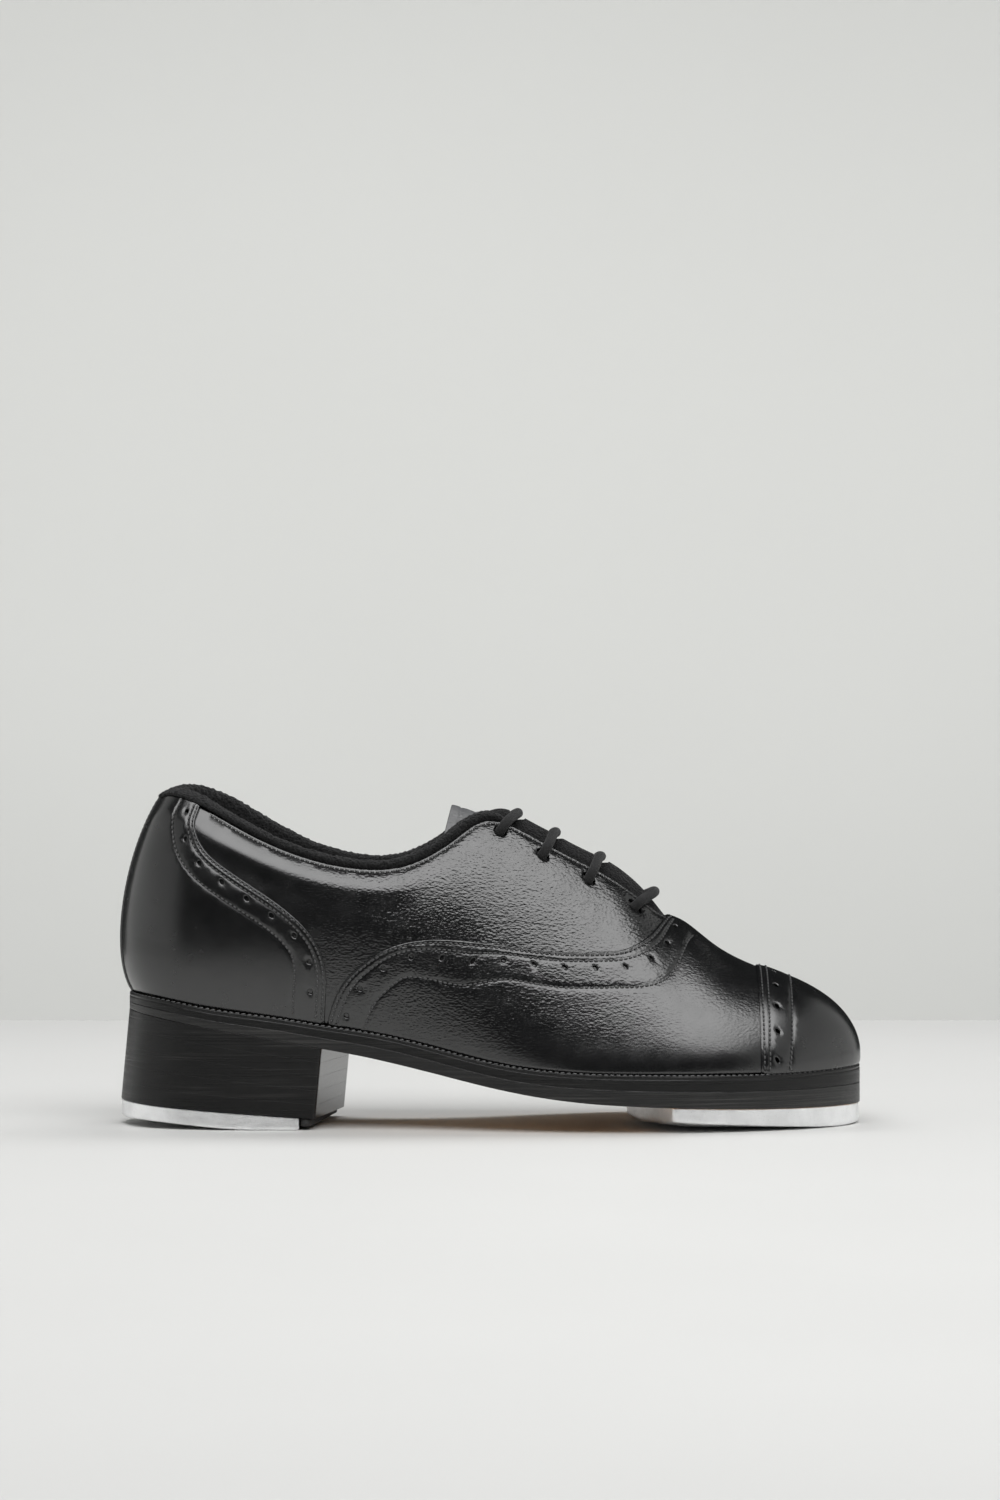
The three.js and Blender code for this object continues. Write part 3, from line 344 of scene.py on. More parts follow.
SCANS = {side: scan(side) for side in SIDES}


def locate(side, xz):
    """The chart places of points seen from one side: their x and z in millimetres."""
    grid_k, grid_t, seen = SCANS[side]
    result = []
    for x, z in np.atleast_2d(xz):
        near = np.argmin((seen[:, 0] - x) ** 2 + (seen[:, 1] - z) ** 2)
        k, t = grid_k[near], grid_t[near]
        for _ in range(3):
            here = surface(k, t)[[0, 2]]
            dk = (surface(k + 0.01, t)[[0, 2]] - here) / 0.01
            dt = (surface(k, t + 0.001)[[0, 2]] - here) / 0.001
            jacobian = np.stack([dk, dt], 1)
            if abs(np.linalg.det(jacobian)) < 1.0:
                break
            step = np.linalg.solve(jacobian, np.array([x, z]) - here)
            k = float(np.clip(k + np.clip(step[0], -0.3, 0.3), *sorted((0, side * RIBS))))
            t = float(np.clip(t + np.clip(step[1], -0.05, 0.05), 0, 1))
        result.append(to_chart(side, k, t))
    return np.array(result)


# ---- Line and mesh helpers -----------------------------------------------------------------

def resample(points, step, closed=False):
    """Points at an even distance along a polyline."""
    points = np.asarray(points, float)
    if closed:
        points = np.vstack([points, points[:1]])
    length = run_length(points)
    count = max(int(round(length[-1] / step)), 3)
    at = np.linspace(0, length[-1], count + 1)
    if closed:
        at = at[:-1]
    return np.stack([np.interp(at, length, points[:, i]) for i in range(points.shape[1])], 1)


def smooth_line(points, step):
    """A smooth curve through a few points, sampled at an even distance."""
    points = np.asarray(points, float)
    gaps = np.linalg.norm(np.diff(points, axis=0), axis=1)
    chord = np.concatenate([[0], np.cumsum(gaps ** 0.7)])
    fine = np.linspace(0, chord[-1], 40 * len(points))
    dense = np.stack([cubic(chord, points[:, i])(fine) for i in range(points.shape[1])], 1)
    return resample(dense, step)


def shift_line(line, distance, closed=False):
    """A plane polyline moved to its left by a distance."""
    if closed:
        along = np.roll(line, -1, axis=0) - np.roll(line, 1, axis=0)
    else:
        along = np.gradient(line, axis=0)
    along = along / np.maximum(np.linalg.norm(along, axis=1, keepdims=True), 1e-9)
    return line + np.stack([-along[:, 1], along[:, 0]], 1) * distance


def offset_line(line, distance):
    """shift_line with the loops that form inside tight bends taken out."""
    moved = shift_line(resample(line, 0.7), distance)
    keep = distance_to(moved, line) > abs(distance) - 0.12
    return moved[keep]


def turned_ccw(loop):
    """The loop in counter-clockwise order."""
    x, y = loop[:, 0], loop[:, 1]
    area = np.sum(x * np.roll(y, -1) - np.roll(x, -1) * y)
    return loop if area > 0 else loop[::-1]


def inside(points, loop):
    """Which points lie inside a closed loop."""
    x, y = points[:, 0][:, None], points[:, 1][:, None]
    x0, y0 = loop[:, 0][None], loop[:, 1][None]
    x1, y1 = np.roll(loop[:, 0], -1)[None], np.roll(loop[:, 1], -1)[None]
    with np.errstate(divide="ignore", invalid="ignore"):
        at = (x1 - x0) * (y - y0) / (y1 - y0) + x0
    return (((y0 > y) != (y1 > y)) & (x < at)).sum(1) % 2 == 1


def distance_to(points, line):
    """The distance from each point to a polyline."""
    best = np.full(len(points), 1e9)
    for a, b in zip(line[:-1], line[1:]):
        ab = b - a
        t = np.clip(((points - a) @ ab) / max(ab @ ab, 1e-12), 0, 1)
        best = np.minimum(best, np.linalg.norm(points - a - t[:, None] * ab, axis=1))
    return best


def smoothstep(x, low, high):
    t = np.clip((x - low) / (high - low), 0, 1)
    return t * t * (3 - 2 * t)


def closed(loop):
    return np.vstack([loop, loop[:1]])


def circle(centre, radius, count):
    turn = np.linspace(0, -2 * math.pi, count, endpoint=False)
    return np.asarray(centre) + np.stack([np.cos(turn), np.sin(turn)], 1) * radius


def make_object(name, verts, faces, material, body="shoe", slot=None, replaces=(), sharp=None):
    """A mesh object from points in millimetres, riding on a body."""
    mesh = bpy.data.meshes.new(name)
    mesh.from_pydata((np.asarray(verts, float) * MM).tolist(), [], faces)
    work = bmesh.new()
    work.from_mesh(mesh)
    bmesh.ops.remove_doubles(work, verts=work.verts, dist=2e-6)
    loose = [v for v in work.verts if not v.link_faces]
    bmesh.ops.delete(work, geom=loose, context="VERTS")
    bmesh.ops.recalc_face_normals(work, faces=work.faces)
    work.to_mesh(mesh)
    work.free()
    mesh.polygons.foreach_set("use_smooth", np.ones(len(mesh.polygons), bool))
    if sharp:
        mesh.set_sharp_from_angle(angle=math.radians(sharp))
    mesh.materials.append(material)
    piece = bpy.data.objects.new(name, mesh)
    bpy.context.scene.collection.objects.link(piece)
    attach(piece, body)
    if replaces:
        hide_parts(*replaces)
    return piece


def triangulate(loops, holes, loose, cell):
    """Triangles of the area inside loops[0], less the holes. loops are closed polylines that the
    triangles must follow, holes those that bound openings. Returns the points, the triangles and
    the place of each given point."""
    verts, edges = [], []
    for loop in [*loops, *holes]:
        first = len(verts)
        verts.extend(loop)
        index = range(first, first + len(loop))
        edges.extend(zip(index, [*index[1:], first]))
    verts.extend(loose)
    outer = loops[0]
    low, high = outer.min(0), outer.max(0)
    grid = []
    for i, row in enumerate(np.arange(low[1], high[1], cell * 0.87)):
        across = np.arange(low[0] + (i % 2) * cell / 2, high[0], cell)
        grid.append(np.stack([across, np.full(len(across), row)], 1))
    grid = np.vstack(grid)
    grid = grid[inside(grid, outer)]
    for loop in [*loops, *holes]:
        grid = grid[distance_to(grid, closed(loop)) > 0.55 * cell]
    for hole in holes:
        grid = grid[~inside(grid, hole)]
    if len(loose) and len(grid):
        near = np.array([np.min(np.sum((loose - g) ** 2, axis=1)) for g in grid])
        grid = grid[np.sqrt(near) > 0.5 * cell]
    verts.extend(grid)
    flat = [Vector((float(p[0]), float(p[1]))) for p in verts]
    cdt = geometry.delaunay_2d_cdt(flat, edges, [], 1, 1e-6)
    points = np.array([(p.x, p.y) for p in cdt[0]])
    place = np.full(len(verts), -1)
    for new, sources in enumerate(cdt[3]):
        for source in sources:
            place[source] = new
    triangles = np.array([f for f in cdt[2] if len(f) == 3])
    middle = points[triangles].mean(1)
    wanted = inside(middle, outer)
    for hole in holes:
        wanted &= ~inside(middle, hole)
    return points, triangles[wanted], place


def chart_panel(name, outline, material, holes, rows, relief, side=None, top=0.0, thick=LEATHER,
                round_edge=0.6, **kind):
    """A leather panel with rounded cut edges over the surface. outline is a closed loop in the
    chart, holes are (centre, radius), rows are stitch lines that pull the leather in, and relief
    gives the height of the leather's hills."""
    outline = turned_ccw(resample(outline, PANEL_CELL * 0.75, closed=True))
    loops = [outline]
    for share in (0.3, 1.0, 2.2):
        ring = shift_line(outline, round_edge * share, closed=True)
        away = distance_to(ring, closed(outline)) > round_edge * share * 0.8
        loops.append(ring[away & inside(ring, outline)])
    hole_loops, rims = [], []
    for centre, radius in holes:
        count = max(12, int(radius * 9))
        hole_loops.append(circle(centre, radius, count))
        rims += [circle(centre, radius + lip, count) for lip in (HOLE_LIP / 3, HOLE_LIP)]
    loose = []
    for row in rows:
        for aside in (-0.6, 0.0, 0.6):
            line = resample(shift_line(row, aside), 0.95)
            keep = inside(line, outline) & (distance_to(line, closed(outline)) > 0.5)
            for centre, radius in holes:
                keep &= np.linalg.norm(line - centre, axis=1) > radius + 0.8
            loose.append(line[keep])
    loose = np.vstack(loose)
    points, triangles, place = triangulate([*loops, *rims], hole_loops, loose, PANEL_CELL)
    edge = distance_to(points, closed(outline))
    dip = -round_edge * (1 - np.sqrt(1 - (1 - np.clip(edge / round_edge, 0, 1)) ** 2))
    for centre, radius in holes:
        rim = np.linalg.norm(points - centre, axis=1) - radius
        dip -= 0.35 * (1 - np.clip(rim / HOLE_LIP, 0, 1)) ** 2
    for row in rows:
        dip -= 0.3 * np.exp(-(distance_to(points, row) / 0.5) ** 2)
    k, t = from_chart(points, side)
    above = lifted(k, t, top + (dip + relief(points, side)))
    below = lifted(k, t, np.full(len(points), top - thick))
    count = len(points)
    faces = triangles.tolist() + (triangles[:, ::-1] + count).tolist()
    lengths = [len(loop) for loop in (*loops, *rims, *hole_loops)]
    starts = np.concatenate([[0], np.cumsum(lengths)])
    bound = [0, *range(len(loops) + len(rims), len(lengths))]
    for i in bound:
        loop = place[starts[i]:starts[i + 1]]
        for a, b in zip(loop, np.roll(loop, -1)):
            if a != b:
                faces.append((int(b), int(a), int(a) + count, int(b) + count))
    return make_object(name, np.vstack([above, below]), faces, material, **kind)


def grid_faces(rows, columns, wrap=False):
    """Quads over a grid of points; wrap closes each row to a ring."""
    faces = []
    for i in range(rows - 1):
        for j in range(columns if wrap else columns - 1):
            a = i * columns + j
            b = i * columns + (j + 1) % columns
            faces.append((a, b, b + columns, a + columns))
    return faces


def layered_skin(name, layers, material, **kind):
    """A closed skin over two grids of points, the upper and the lower face, joined at the rim."""
    rows, columns = layers.shape[1:3]
    count = rows * columns
    faces = grid_faces(rows, columns)
    faces += [tuple(i + count for i in face[::-1]) for face in faces]
    rim = [*range(columns), *range(2 * columns - 1, count, columns),
           *range(count - 2, count - columns - 1, -1), *range(count - 2 * columns, 0, -columns)]
    faces += [(b, a, a + count, b + count) for a, b in zip(rim, rim[1:] + rim[:1])]
    return make_object(name, layers.reshape(-1, 3), faces, material, **kind)


def sleeve(name, rings, material, **kind):
    """A skin through rings of points with the same count, with a fan at each end."""
    rings = np.asarray(rings)
    rows, columns = rings.shape[:2]
    faces = grid_faces(rows, columns, wrap=True)
    verts = np.vstack([rings.reshape(-1, 3), [rings[0].mean(0), rings[-1].mean(0)]])
    last, count = (rows - 1) * columns, rows * columns
    for j in range(columns):
        nxt = (j + 1) % columns
        faces += [(nxt, j, count), (last + j, last + nxt, count + 1)]
    return make_object(name, verts, faces, material, **kind)


def slab(name, outline, top, bottom, material, edge, cell, top_edge=None, wall=3, place=None,
         sinks=(), **kind):
    """A plate with a plane outline, rounded edges and its own height above and below. sinks are
    the centres of round recesses in its under face."""
    outline = turned_ccw(np.asarray(outline))
    top_edge = top_edge or edge
    # Each ring's inset in edge radii, its share of the height, its distance from the face in radii.
    levels = [(1.0, 0.0, 0.0), (0.3, 0.0, 0.3), (0.0, 0.0, 1.0), (0.0, 0.0, 2.0)]
    levels += [(0.0, i / wall, None) for i in range(1, wall)]
    levels += [(0.0, 1.0, 2.0), (0.0, 1.0, 1.0), (0.3, 1.0, 0.3), (1.0, 1.0, 0.0)]
    rings = []
    for inset, share, drop in levels:
        radius = top_edge if share < 0.5 else edge
        flat = shift_line(outline, inset * radius, closed=True)
        high, low = top(flat[:, 0], flat[:, 1]), bottom(flat[:, 0], flat[:, 1])
        if drop is None:
            z = high + (low - high) * share
        else:
            z = high - drop * radius if share < 0.5 else low + drop * radius
        rings.append(np.column_stack([flat, z]))
    rows, columns = len(rings), len(outline)
    verts = [np.vstack(rings)]
    faces = grid_faces(rows, columns, wrap=True)
    total = rows * columns
    for ring, height, flip, holes in ((0, top, False, ()), (rows - 1, bottom, True, sinks)):
        rim = rings[ring][:, :2]
        hole_loops = [circle(c, SINK_RADIUS, ROUND_SIDES) for c in holes]
        lips = [circle(c, SINK_RADIUS + SINK_LIP, ROUND_SIDES) for c in holes]
        points, triangles, spot = triangulate([rim, *lips], hole_loops, np.zeros((0, 2)), cell)
        z = height(points[:, 0], points[:, 1])
        for c in holes:
            beyond = (np.linalg.norm(points - c, axis=1) - SINK_RADIUS) / SINK_LIP
            z = z + 0.3 * (1 - np.clip(beyond, 0, 1)) ** 2
        verts.append(np.column_stack([points, z]))
        faces += (triangles[:, ::-1] + total if flip else triangles + total).tolist()
        start = len(rim) + ROUND_SIDES * len(holes)
        for n, c in enumerate(holes):
            lip = spot[start + ROUND_SIDES * n:start + ROUND_SIDES * (n + 1)] + total
            at = total + len(points)
            deep = height(np.array([c[0]]), np.array([c[1]]))[0] + SINK_DEPTH
            floor = np.vstack([circle(c, SINK_RADIUS, ROUND_SIDES), [c]])
            verts.append(np.column_stack([floor, np.full(len(floor), deep)]))
            for i in range(ROUND_SIDES):
                j = (i + 1) % ROUND_SIDES
                faces.append((int(lip[j]), int(lip[i]), at + i, at + j))
                faces.append((at + j, at + i, at + ROUND_SIDES))
            total += ROUND_SIDES + 1
        total += len(points)
    verts = np.vstack(verts)
    if place is not None:
        verts = place(verts)
    return make_object(name, verts, faces, material, sharp=50, **kind)


# ---- Stitches ------------------------------------------------------------------------------

def stitch_shape():
    """A small capsule along X, flattened: rings of six points."""
    rings = []
    for x, size in ((-0.5, 0.0), (-0.42, 0.62), (-0.2, 1.0), (0.2, 1.0), (0.42, 0.62), (0.5, 0.0)):
        for i in range(6):
            turn = i * math.pi / 3
            rings.append((x, 0.5 * size * math.cos(turn), 0.5 * size * math.sin(turn)))
    faces = grid_faces(6, 6, wrap=True)
    return np.array(rings), faces


STITCH, STITCH_FACES = stitch_shape()


def stitches_on(path, outs, thread, pitch=STITCH_PITCH):
    """Stitches along a line in space with its outward directions."""
    length, width, height = thread
    run = run_length(path)
    at = np.arange(pitch / 2, run[-1], pitch)

    def pick(values, places):
        return np.stack([np.interp(places, run, values[:, i]) for i in range(3)], 1)
    out = unit(pick(outs, at))
    along = unit(pick(path, at + 0.4) - pick(path, at - 0.4))
    along = unit(along - out * np.sum(along * out, 1, keepdims=True))
    across = np.cross(out, along)
    return (
        pick(path, at)[:, None, :]
        + STITCH[None, :, 0:1] * along[:, None, :] * length
        + STITCH[None, :, 1:2] * across[:, None, :] * width
        + STITCH[None, :, 2:3] * out[:, None, :] * height
    )


def join_stitches(name, blocks):
    """One piece of thread from rows of stitches."""
    verts = np.vstack([b.reshape(-1, 3) for b in blocks])
    starts = np.arange(0, len(verts), len(STITCH))
    faces = (np.array(STITCH_FACES)[None] + starts[:, None, None]).reshape(-1, 4)
    return make_object(name, verts, faces.tolist(), THREAD, slot="upper_leather")


def sew(name, lines, relief, side=None, top=0.0):
    """Stitches along chart lines, on a panel whose outer face is at the offset top."""
    blocks = []
    for line in lines:
        if len(line) < 2 or run_length(line)[-1] < STITCH_PITCH * 2:
            continue
        fine = resample(line, STITCH_PITCH / 4)
        k, t = from_chart(fine, side)
        path = lifted(k, t, np.broadcast_to(top - 0.04 + relief(fine, side), k.shape))
        blocks.append(stitches_on(path, normal(k, t), PANEL_THREAD))
    return join_stitches(name, blocks)


# ---- Materials -----------------------------------------------------------------------------

class Nodes:
    """A shorthand for building a node tree around one Principled shader."""

    def __init__(self, name, color, roughness, **sockets):
        self.material = bpy.data.materials.new(name)
        self.material.use_nodes = True
        self.tree = self.material.node_tree
        self.bsdf = self.tree.nodes["Principled BSDF"]
        self.bsdf.inputs["Base Color"].default_value = (*color, 1)
        self.bsdf.inputs["Roughness"].default_value = roughness
        for socket, value in sockets.items():
            self.bsdf.inputs[socket.replace("_", " ")].default_value = value
        self.coords = self.node("ShaderNodeTexCoord").outputs["Object"]

    def node(self, kind, inputs=None, **settings):
        made = self.tree.nodes.new(kind)
        for key, value in settings.items():
            setattr(made, key, value)
        for key, value in (inputs or {}).items():
            self.feed(made.inputs[key], value)
        return made

    def feed(self, socket, value):
        if isinstance(value, bpy.types.NodeSocket):
            self.tree.links.new(value, socket)
        else:
            socket.default_value = value

    def stretched(self, x, y, z):
        inputs = {"Vector": self.coords, "Scale": (x, y, z)}
        return self.node("ShaderNodeMapping", inputs).outputs[0]

    def noise(self, scale, detail=3.0, rough=0.55, vector=None, distortion=0.0):
        return self.node(
            "ShaderNodeTexNoise",
            {"Vector": vector or self.coords, "Scale": scale, "Detail": detail, "Roughness": rough,
             "Distortion": distortion},
        ).outputs["Fac"]

    def cells(self, scale, feature, vector=None):
        return self.node(
            "ShaderNodeTexVoronoi",
            {"Vector": vector or self.coords, "Scale": scale, "Randomness": 1.0}, feature=feature,
        ).outputs["Distance"]

    def part(self, vector, axis):
        """One coordinate of a vector."""
        return self.node("ShaderNodeSeparateXYZ", {0: vector}).outputs[axis]

    def facing(self, axis):
        """How far the bare surface faces along an axis."""
        return self.part(self.node("ShaderNodeNewGeometry").outputs["True Normal"], axis)

    def ramp(self, value, low=0.3, high=0.7, from_value=0.0, to_value=1.0):
        return self.node(
            "ShaderNodeMapRange",
            {"Value": value, "From Min": low, "From Max": high, "To Min": from_value,
             "To Max": to_value},
        ).outputs["Result"]

    def math(self, operation, a, b):
        return self.node("ShaderNodeMath", {0: a, 1: b}, operation=operation).outputs[0]

    def mix(self, factor, a, b):
        made = self.node("ShaderNodeMix", {0: factor}, data_type="RGBA")
        self.feed(made.inputs[6], (*a, 1) if isinstance(a, tuple) else a)
        self.feed(made.inputs[7], (*b, 1) if isinstance(b, tuple) else b)
        return made.outputs[2]

    def bump(self, height, distance, strength=1.0, normal=None):
        inputs = {"Height": height, "Distance": distance, "Strength": strength}
        if normal is not None:
            inputs["Normal"] = normal
        return self.node("ShaderNodeBump", inputs).outputs[0]

    def done(self, color, roughness=None, normal=None):
        for socket, value in (("Base Color", color), ("Roughness", roughness), ("Normal", normal)):
            if value is not None:
                self.feed(self.bsdf.inputs[socket], value)
        return self.material


def leather(name, grain, color=(0.0026, 0.0027, 0.0029), rough=(0.21, 0.28)):
    """Glazed black leather: slow swells, wavy creases along the foot and a fine pebble grain,
    strongest over the waist and the ball of the foot."""
    n = Nodes(name, color, 0.26, Specular_IOR_Level=0.9)
    place = n.node("ShaderNodeSeparateXYZ", {0: n.coords}).outputs
    worked = n.math("MULTIPLY", n.ramp(place["X"], -0.088, -0.03, 0.12, 1.0),
                    n.ramp(place["X"], 0.02, 0.1, 1.0, 0.5))
    worked = n.math("MULTIPLY", worked, n.ramp(place["Z"], 0.026, 0.044, 0.12, 1.0))
    creases = n.noise(860, 2, 0.5, vector=n.stretched(0.5, 0.8, 1.2), distortion=0.3)
    pebbles = n.cells(1250, "SMOOTH_F1", vector=n.stretched(0.7, 0.85, 1.15))
    swells = n.noise(80, 2, 0.5, vector=n.stretched(0.6, 0.9, 1.2))
    normal = n.bump(swells, 0.00008 * grain)
    normal = n.bump(creases, 0.00013 * grain, worked, normal=normal)
    normal = n.bump(pebbles, 0.00014 * grain, worked, normal=normal)
    normal = n.bump(n.noise(3800, 2), 0.000010, normal=normal)
    shade = n.mix(n.ramp(n.noise(60, 4)), color, tuple(1.5 * c for c in color))
    gloss = n.ramp(n.noise(140, 3), 0.3, 0.7, *rough)
    return n.done(shade, gloss, normal)


def thread_material():
    n = Nodes("thread", (0.02, 0.02, 0.021), 0.38, Specular_IOR_Level=0.8)
    twist = n.noise(4000, 1, vector=n.stretched(1, 1, 2.4))
    # Lighter on the twist's crests: partly the thread's own tone, partly painted glints.
    shade = n.mix(n.ramp(twist, 0.35, 0.65), (0.018, 0.018, 0.0185), (0.065, 0.065, 0.066))
    return n.done(shade, None, n.bump(twist, 0.00008))


def sole_edge_material(name, scratch=0.5, glossy_front=False):
    """Inked and waxed leather edge: fine level streaks, a few scuffs. The heel's front face is
    varnished."""
    n = Nodes(name, (0.0025, 0.0025, 0.0025), 0.36, Specular_IOR_Level=0.34)
    streaks = n.noise(60, 6, 0.7, vector=n.stretched(0.3, 0.3, 32))
    broad = n.noise(38, 3, vector=n.stretched(0.5, 0.5, 5))
    scuff = n.ramp(n.math("MULTIPLY", streaks, broad), 0.31, 0.42)
    shade = n.mix(n.math("MULTIPLY", scuff, scratch), (0.004, 0.004, 0.004), (0.05, 0.049, 0.047))
    gloss = n.ramp(streaks, 0.3, 0.7, 0.24, 0.45)
    depth = n.ramp(n.noise(9, 2), 0.3, 0.7, 0.5, 1.0)
    if glossy_front:
        front = n.ramp(n.facing("X"), 0.8, 0.95)
        gloss = n.math("MULTIPLY", gloss, n.ramp(front, 0, 1, 1.0, 0.42))
        depth = n.math("MULTIPLY", depth, n.ramp(front, 0, 1, 1.0, 0.15))
    normal = n.bump(streaks, 0.00018, depth)
    normal = n.bump(n.noise(900, 3), 0.00003, normal=normal)
    return n.done(shade, gloss, normal)


def outsole_material():
    """The outsole: inked edge, bare tan leather on the face that walks."""
    n = Nodes("outsole_leather", (0.01, 0.01, 0.01), 0.42)
    streaks = n.noise(60, 6, 0.7, vector=n.stretched(0.3, 0.3, 32))
    grain = n.noise(260, 5, 0.65)
    cloud = n.noise(22, 4)
    tan = n.mix(n.ramp(grain), (0.60, 0.345, 0.155), (0.70, 0.43, 0.21))
    tan = n.mix(n.ramp(cloud, 0.45, 0.75), tan, (0.52, 0.29, 0.125))
    ink = n.mix(n.ramp(streaks, 0.5, 0.72), (0.004, 0.004, 0.004), (0.04, 0.039, 0.037))
    under = n.ramp(n.facing("Z"), -0.955, -0.975)
    shade = n.mix(under, ink, tan)
    gloss = n.ramp(under, 0, 1, 0.36, 0.6)
    normal = n.bump(streaks, 0.0002)
    normal = n.bump(grain, 0.00012, normal=normal)
    return n.done(shade, gloss, normal)


def fleece_material(name, base=(0.003, 0.003, 0.0032), tip=(0.022, 0.022, 0.0225)):
    n = Nodes(name, base, 0.95, Sheen_Weight=0.08, Sheen_Roughness=0.5, Specular_IOR_Level=0.15)
    tufts = n.noise(1500, 4, 0.7)
    loops = n.cells(1150, "F1")
    fuzz = n.math("ADD", n.math("MULTIPLY", tufts, 0.6), n.math("MULTIPLY", loops, 0.5))
    # Lighter where the fuzz stands highest: partly a fleck pattern, partly a painted highlight on
    # the tufts' tops.
    shade = n.mix(n.ramp(fuzz, 0.3, 0.8), base, tip)
    return n.done(shade, None, n.bump(fuzz, 0.0011))


def woven_material(name, base, tip, scale=1400):
    """A plain woven or knitted lining cloth."""
    n = Nodes(name, base, 0.9, Sheen_Weight=0.25, Sheen_Roughness=0.5, Specular_IOR_Level=0.25)
    warp, weft = (
        n.node("ShaderNodeTexWave", {"Vector": n.coords, "Scale": scale / 6.3, "Distortion": 1.5},
               bands_direction=axis).outputs["Fac"]
        for axis in "XZ"
    )
    cloth = n.math("MULTIPLY", warp, weft)
    shade = n.mix(n.ramp(n.noise(300, 4)), base, tip)
    return n.done(shade, None, n.bump(cloth, 0.0003))


def tap_material():
    """Cast and tumbled aluminium: cloudy gloss, fine scratches, darker pits."""
    n = Nodes("tap_metal", (0.9, 0.905, 0.91), 0.42, Metallic=1.0)
    cloud = n.noise(85, 5, 0.6)
    fine = n.noise(700, 4, 0.7, vector=n.stretched(1, 0.25, 1))
    pits = n.ramp(n.cells(900, "F1"), 0.0, 0.18)
    shade = n.mix(n.ramp(cloud, 0.35, 0.7), (0.95, 0.955, 0.96), (0.8, 0.805, 0.81))
    shade = n.mix(n.ramp(pits, 0.0, 1.0, 0.35, 0.0), shade, (0.33, 0.33, 0.33))
    gloss = n.ramp(fine, 0.3, 0.7, 0.34, 0.54)
    normal = n.bump(fine, 0.00008)
    normal = n.bump(n.noise(240, 3), 0.0003, normal=normal)
    return n.done(shade, gloss, normal)


def steel_material():
    n = Nodes("screw_steel", (0.58, 0.585, 0.6), 0.3, Metallic=1.0)
    fine = n.noise(1800, 3, vector=n.stretched(1, 1, 0.2))
    shade = n.mix(n.ramp(fine), (0.5, 0.505, 0.52), (0.66, 0.665, 0.68))
    return n.done(shade, n.ramp(fine, 0.3, 0.7, 0.22, 0.4), n.bump(fine, 0.00004))


def rough_material(name, dark, light, scale, rough=0.85, depth=0.0003, **sockets):
    """A plain matter with grain: cork, fibre board, rubber, stiffener."""
    n = Nodes(name, dark, rough, **sockets)
    grain = n.noise(scale, 5, 0.65)
    flecks = n.ramp(n.cells(scale * 1.5, "F1"), 0.1, 0.5)
    shade = n.mix(n.math("MULTIPLY", n.ramp(grain), flecks), dark, light)
    return n.done(shade, n.ramp(grain, 0.2, 0.8, rough - 0.08, rough + 0.05), n.bump(grain, depth))


def lace_material():
    n = Nodes("lace_cord", (0.006, 0.006, 0.0062), 0.85, Sheen_Weight=0.1, Sheen_Roughness=0.4)
    fibre = n.noise(2600, 3)
    shade = n.mix(n.ramp(fibre), (0.003, 0.003, 0.0032), (0.016, 0.016, 0.0165))
    return n.done(shade, None, n.bump(fibre, 0.0003))


COUNTER = leather("counter_leather", 0.15)
COVER = leather("upper_leather", 0.85)
QUARTER = leather("quarter_leather", 1.0)
CAP = leather("cap_leather", 0.15)
TONGUE_LEATHER = leather("tongue_leather", 1.2, color=(0.06, 0.061, 0.063), rough=(0.40, 0.52))
THREAD = thread_material()
EDGE = sole_edge_material("sole_edge")
HEEL = sole_edge_material("heel_leather", 0.35, glossy_front=True)
OUTSOLE = outsole_material()
FLEECE = fleece_material("collar_fleece")
PAD_CLOTH = fleece_material("tongue_fabric", (0.004, 0.004, 0.0042), (0.018, 0.018, 0.0185))
LINING_CLOTH = woven_material("lining_cloth", (0.03, 0.03, 0.031), (0.05, 0.05, 0.051))
SOCK_CLOTH = woven_material("sock_cloth", (0.022, 0.022, 0.023), (0.04, 0.04, 0.041), 1000)
TAP = tap_material()
STEEL = steel_material()
LACE = lace_material()
RUBBER = rough_material("rubber", (0.012, 0.012, 0.012), (0.03, 0.03, 0.03), 700, 0.8, 0.00012)
CORK = rough_material("cork", (0.22, 0.12, 0.05), (0.48, 0.30, 0.15), 500)
BOARD = rough_material("fibre_board", (0.42, 0.29, 0.17), (0.58, 0.43, 0.28), 900)
STIFFENER = rough_material("stiffener", (0.40, 0.33, 0.24), (0.55, 0.47, 0.36), 1100)


# ---- Camera, light, floor ------------------------------------------------------------------

def stage_sheet(name, corners, material, mirrored=True):
    """A sheet of the studio: pairs of corners, strung together."""
    mesh = bpy.data.meshes.new(name)
    strips = range(0, len(corners) - 2, 2)
    mesh.from_pydata(corners, [], [(i, i + 1, i + 3, i + 2) for i in strips])
    mesh.polygons.foreach_set("use_smooth", np.ones(len(mesh.polygons), bool))
    mesh.materials.append(material)
    sheet = bpy.data.objects.new(name, mesh)
    sheet.visible_glossy = mirrored
    bpy.context.scene.collection.objects.link(sheet)
    return sheet


LENS = 107.66            # for a picture 36 mm high
EYE, AIM = Vector((0.0034, -1.7, 0.164)), Vector((0.0034, 0, 0.1412))
TABLE_EDGE = 0.525       # the table's rear edge, rounded
TABLE_BEND = 0.012
WALL_Y = 2.4
# Lamps: place, target, size, power and whether they are mirrored in the shoe.
LAMPS = {
    "overhead": ((0.19, -0.68, 1.15), (0.19, -0.22, 0), (1.62, 0.98), 21, True),
    "rear_fill": ((0.0, 0.5, 1.2), (0, 0.35, 0), (1.6, 0.5), 14, False),
    "front_fill": ((0.0, -1.9, 1.7), (0, -2.0, 0), (3.2, 0.8), 4, False),
    "wall_light": ((0.0, 1.2, 0.48), (0, WALL_Y, 0.48), (3.0, 1.5), 18, False),
}


def place_by_aim(item, place, target):
    item.location = place
    item.rotation_euler = (Vector(target) - Vector(place)).to_track_quat("-Z", "Y").to_euler()
    bpy.context.scene.collection.objects.link(item)


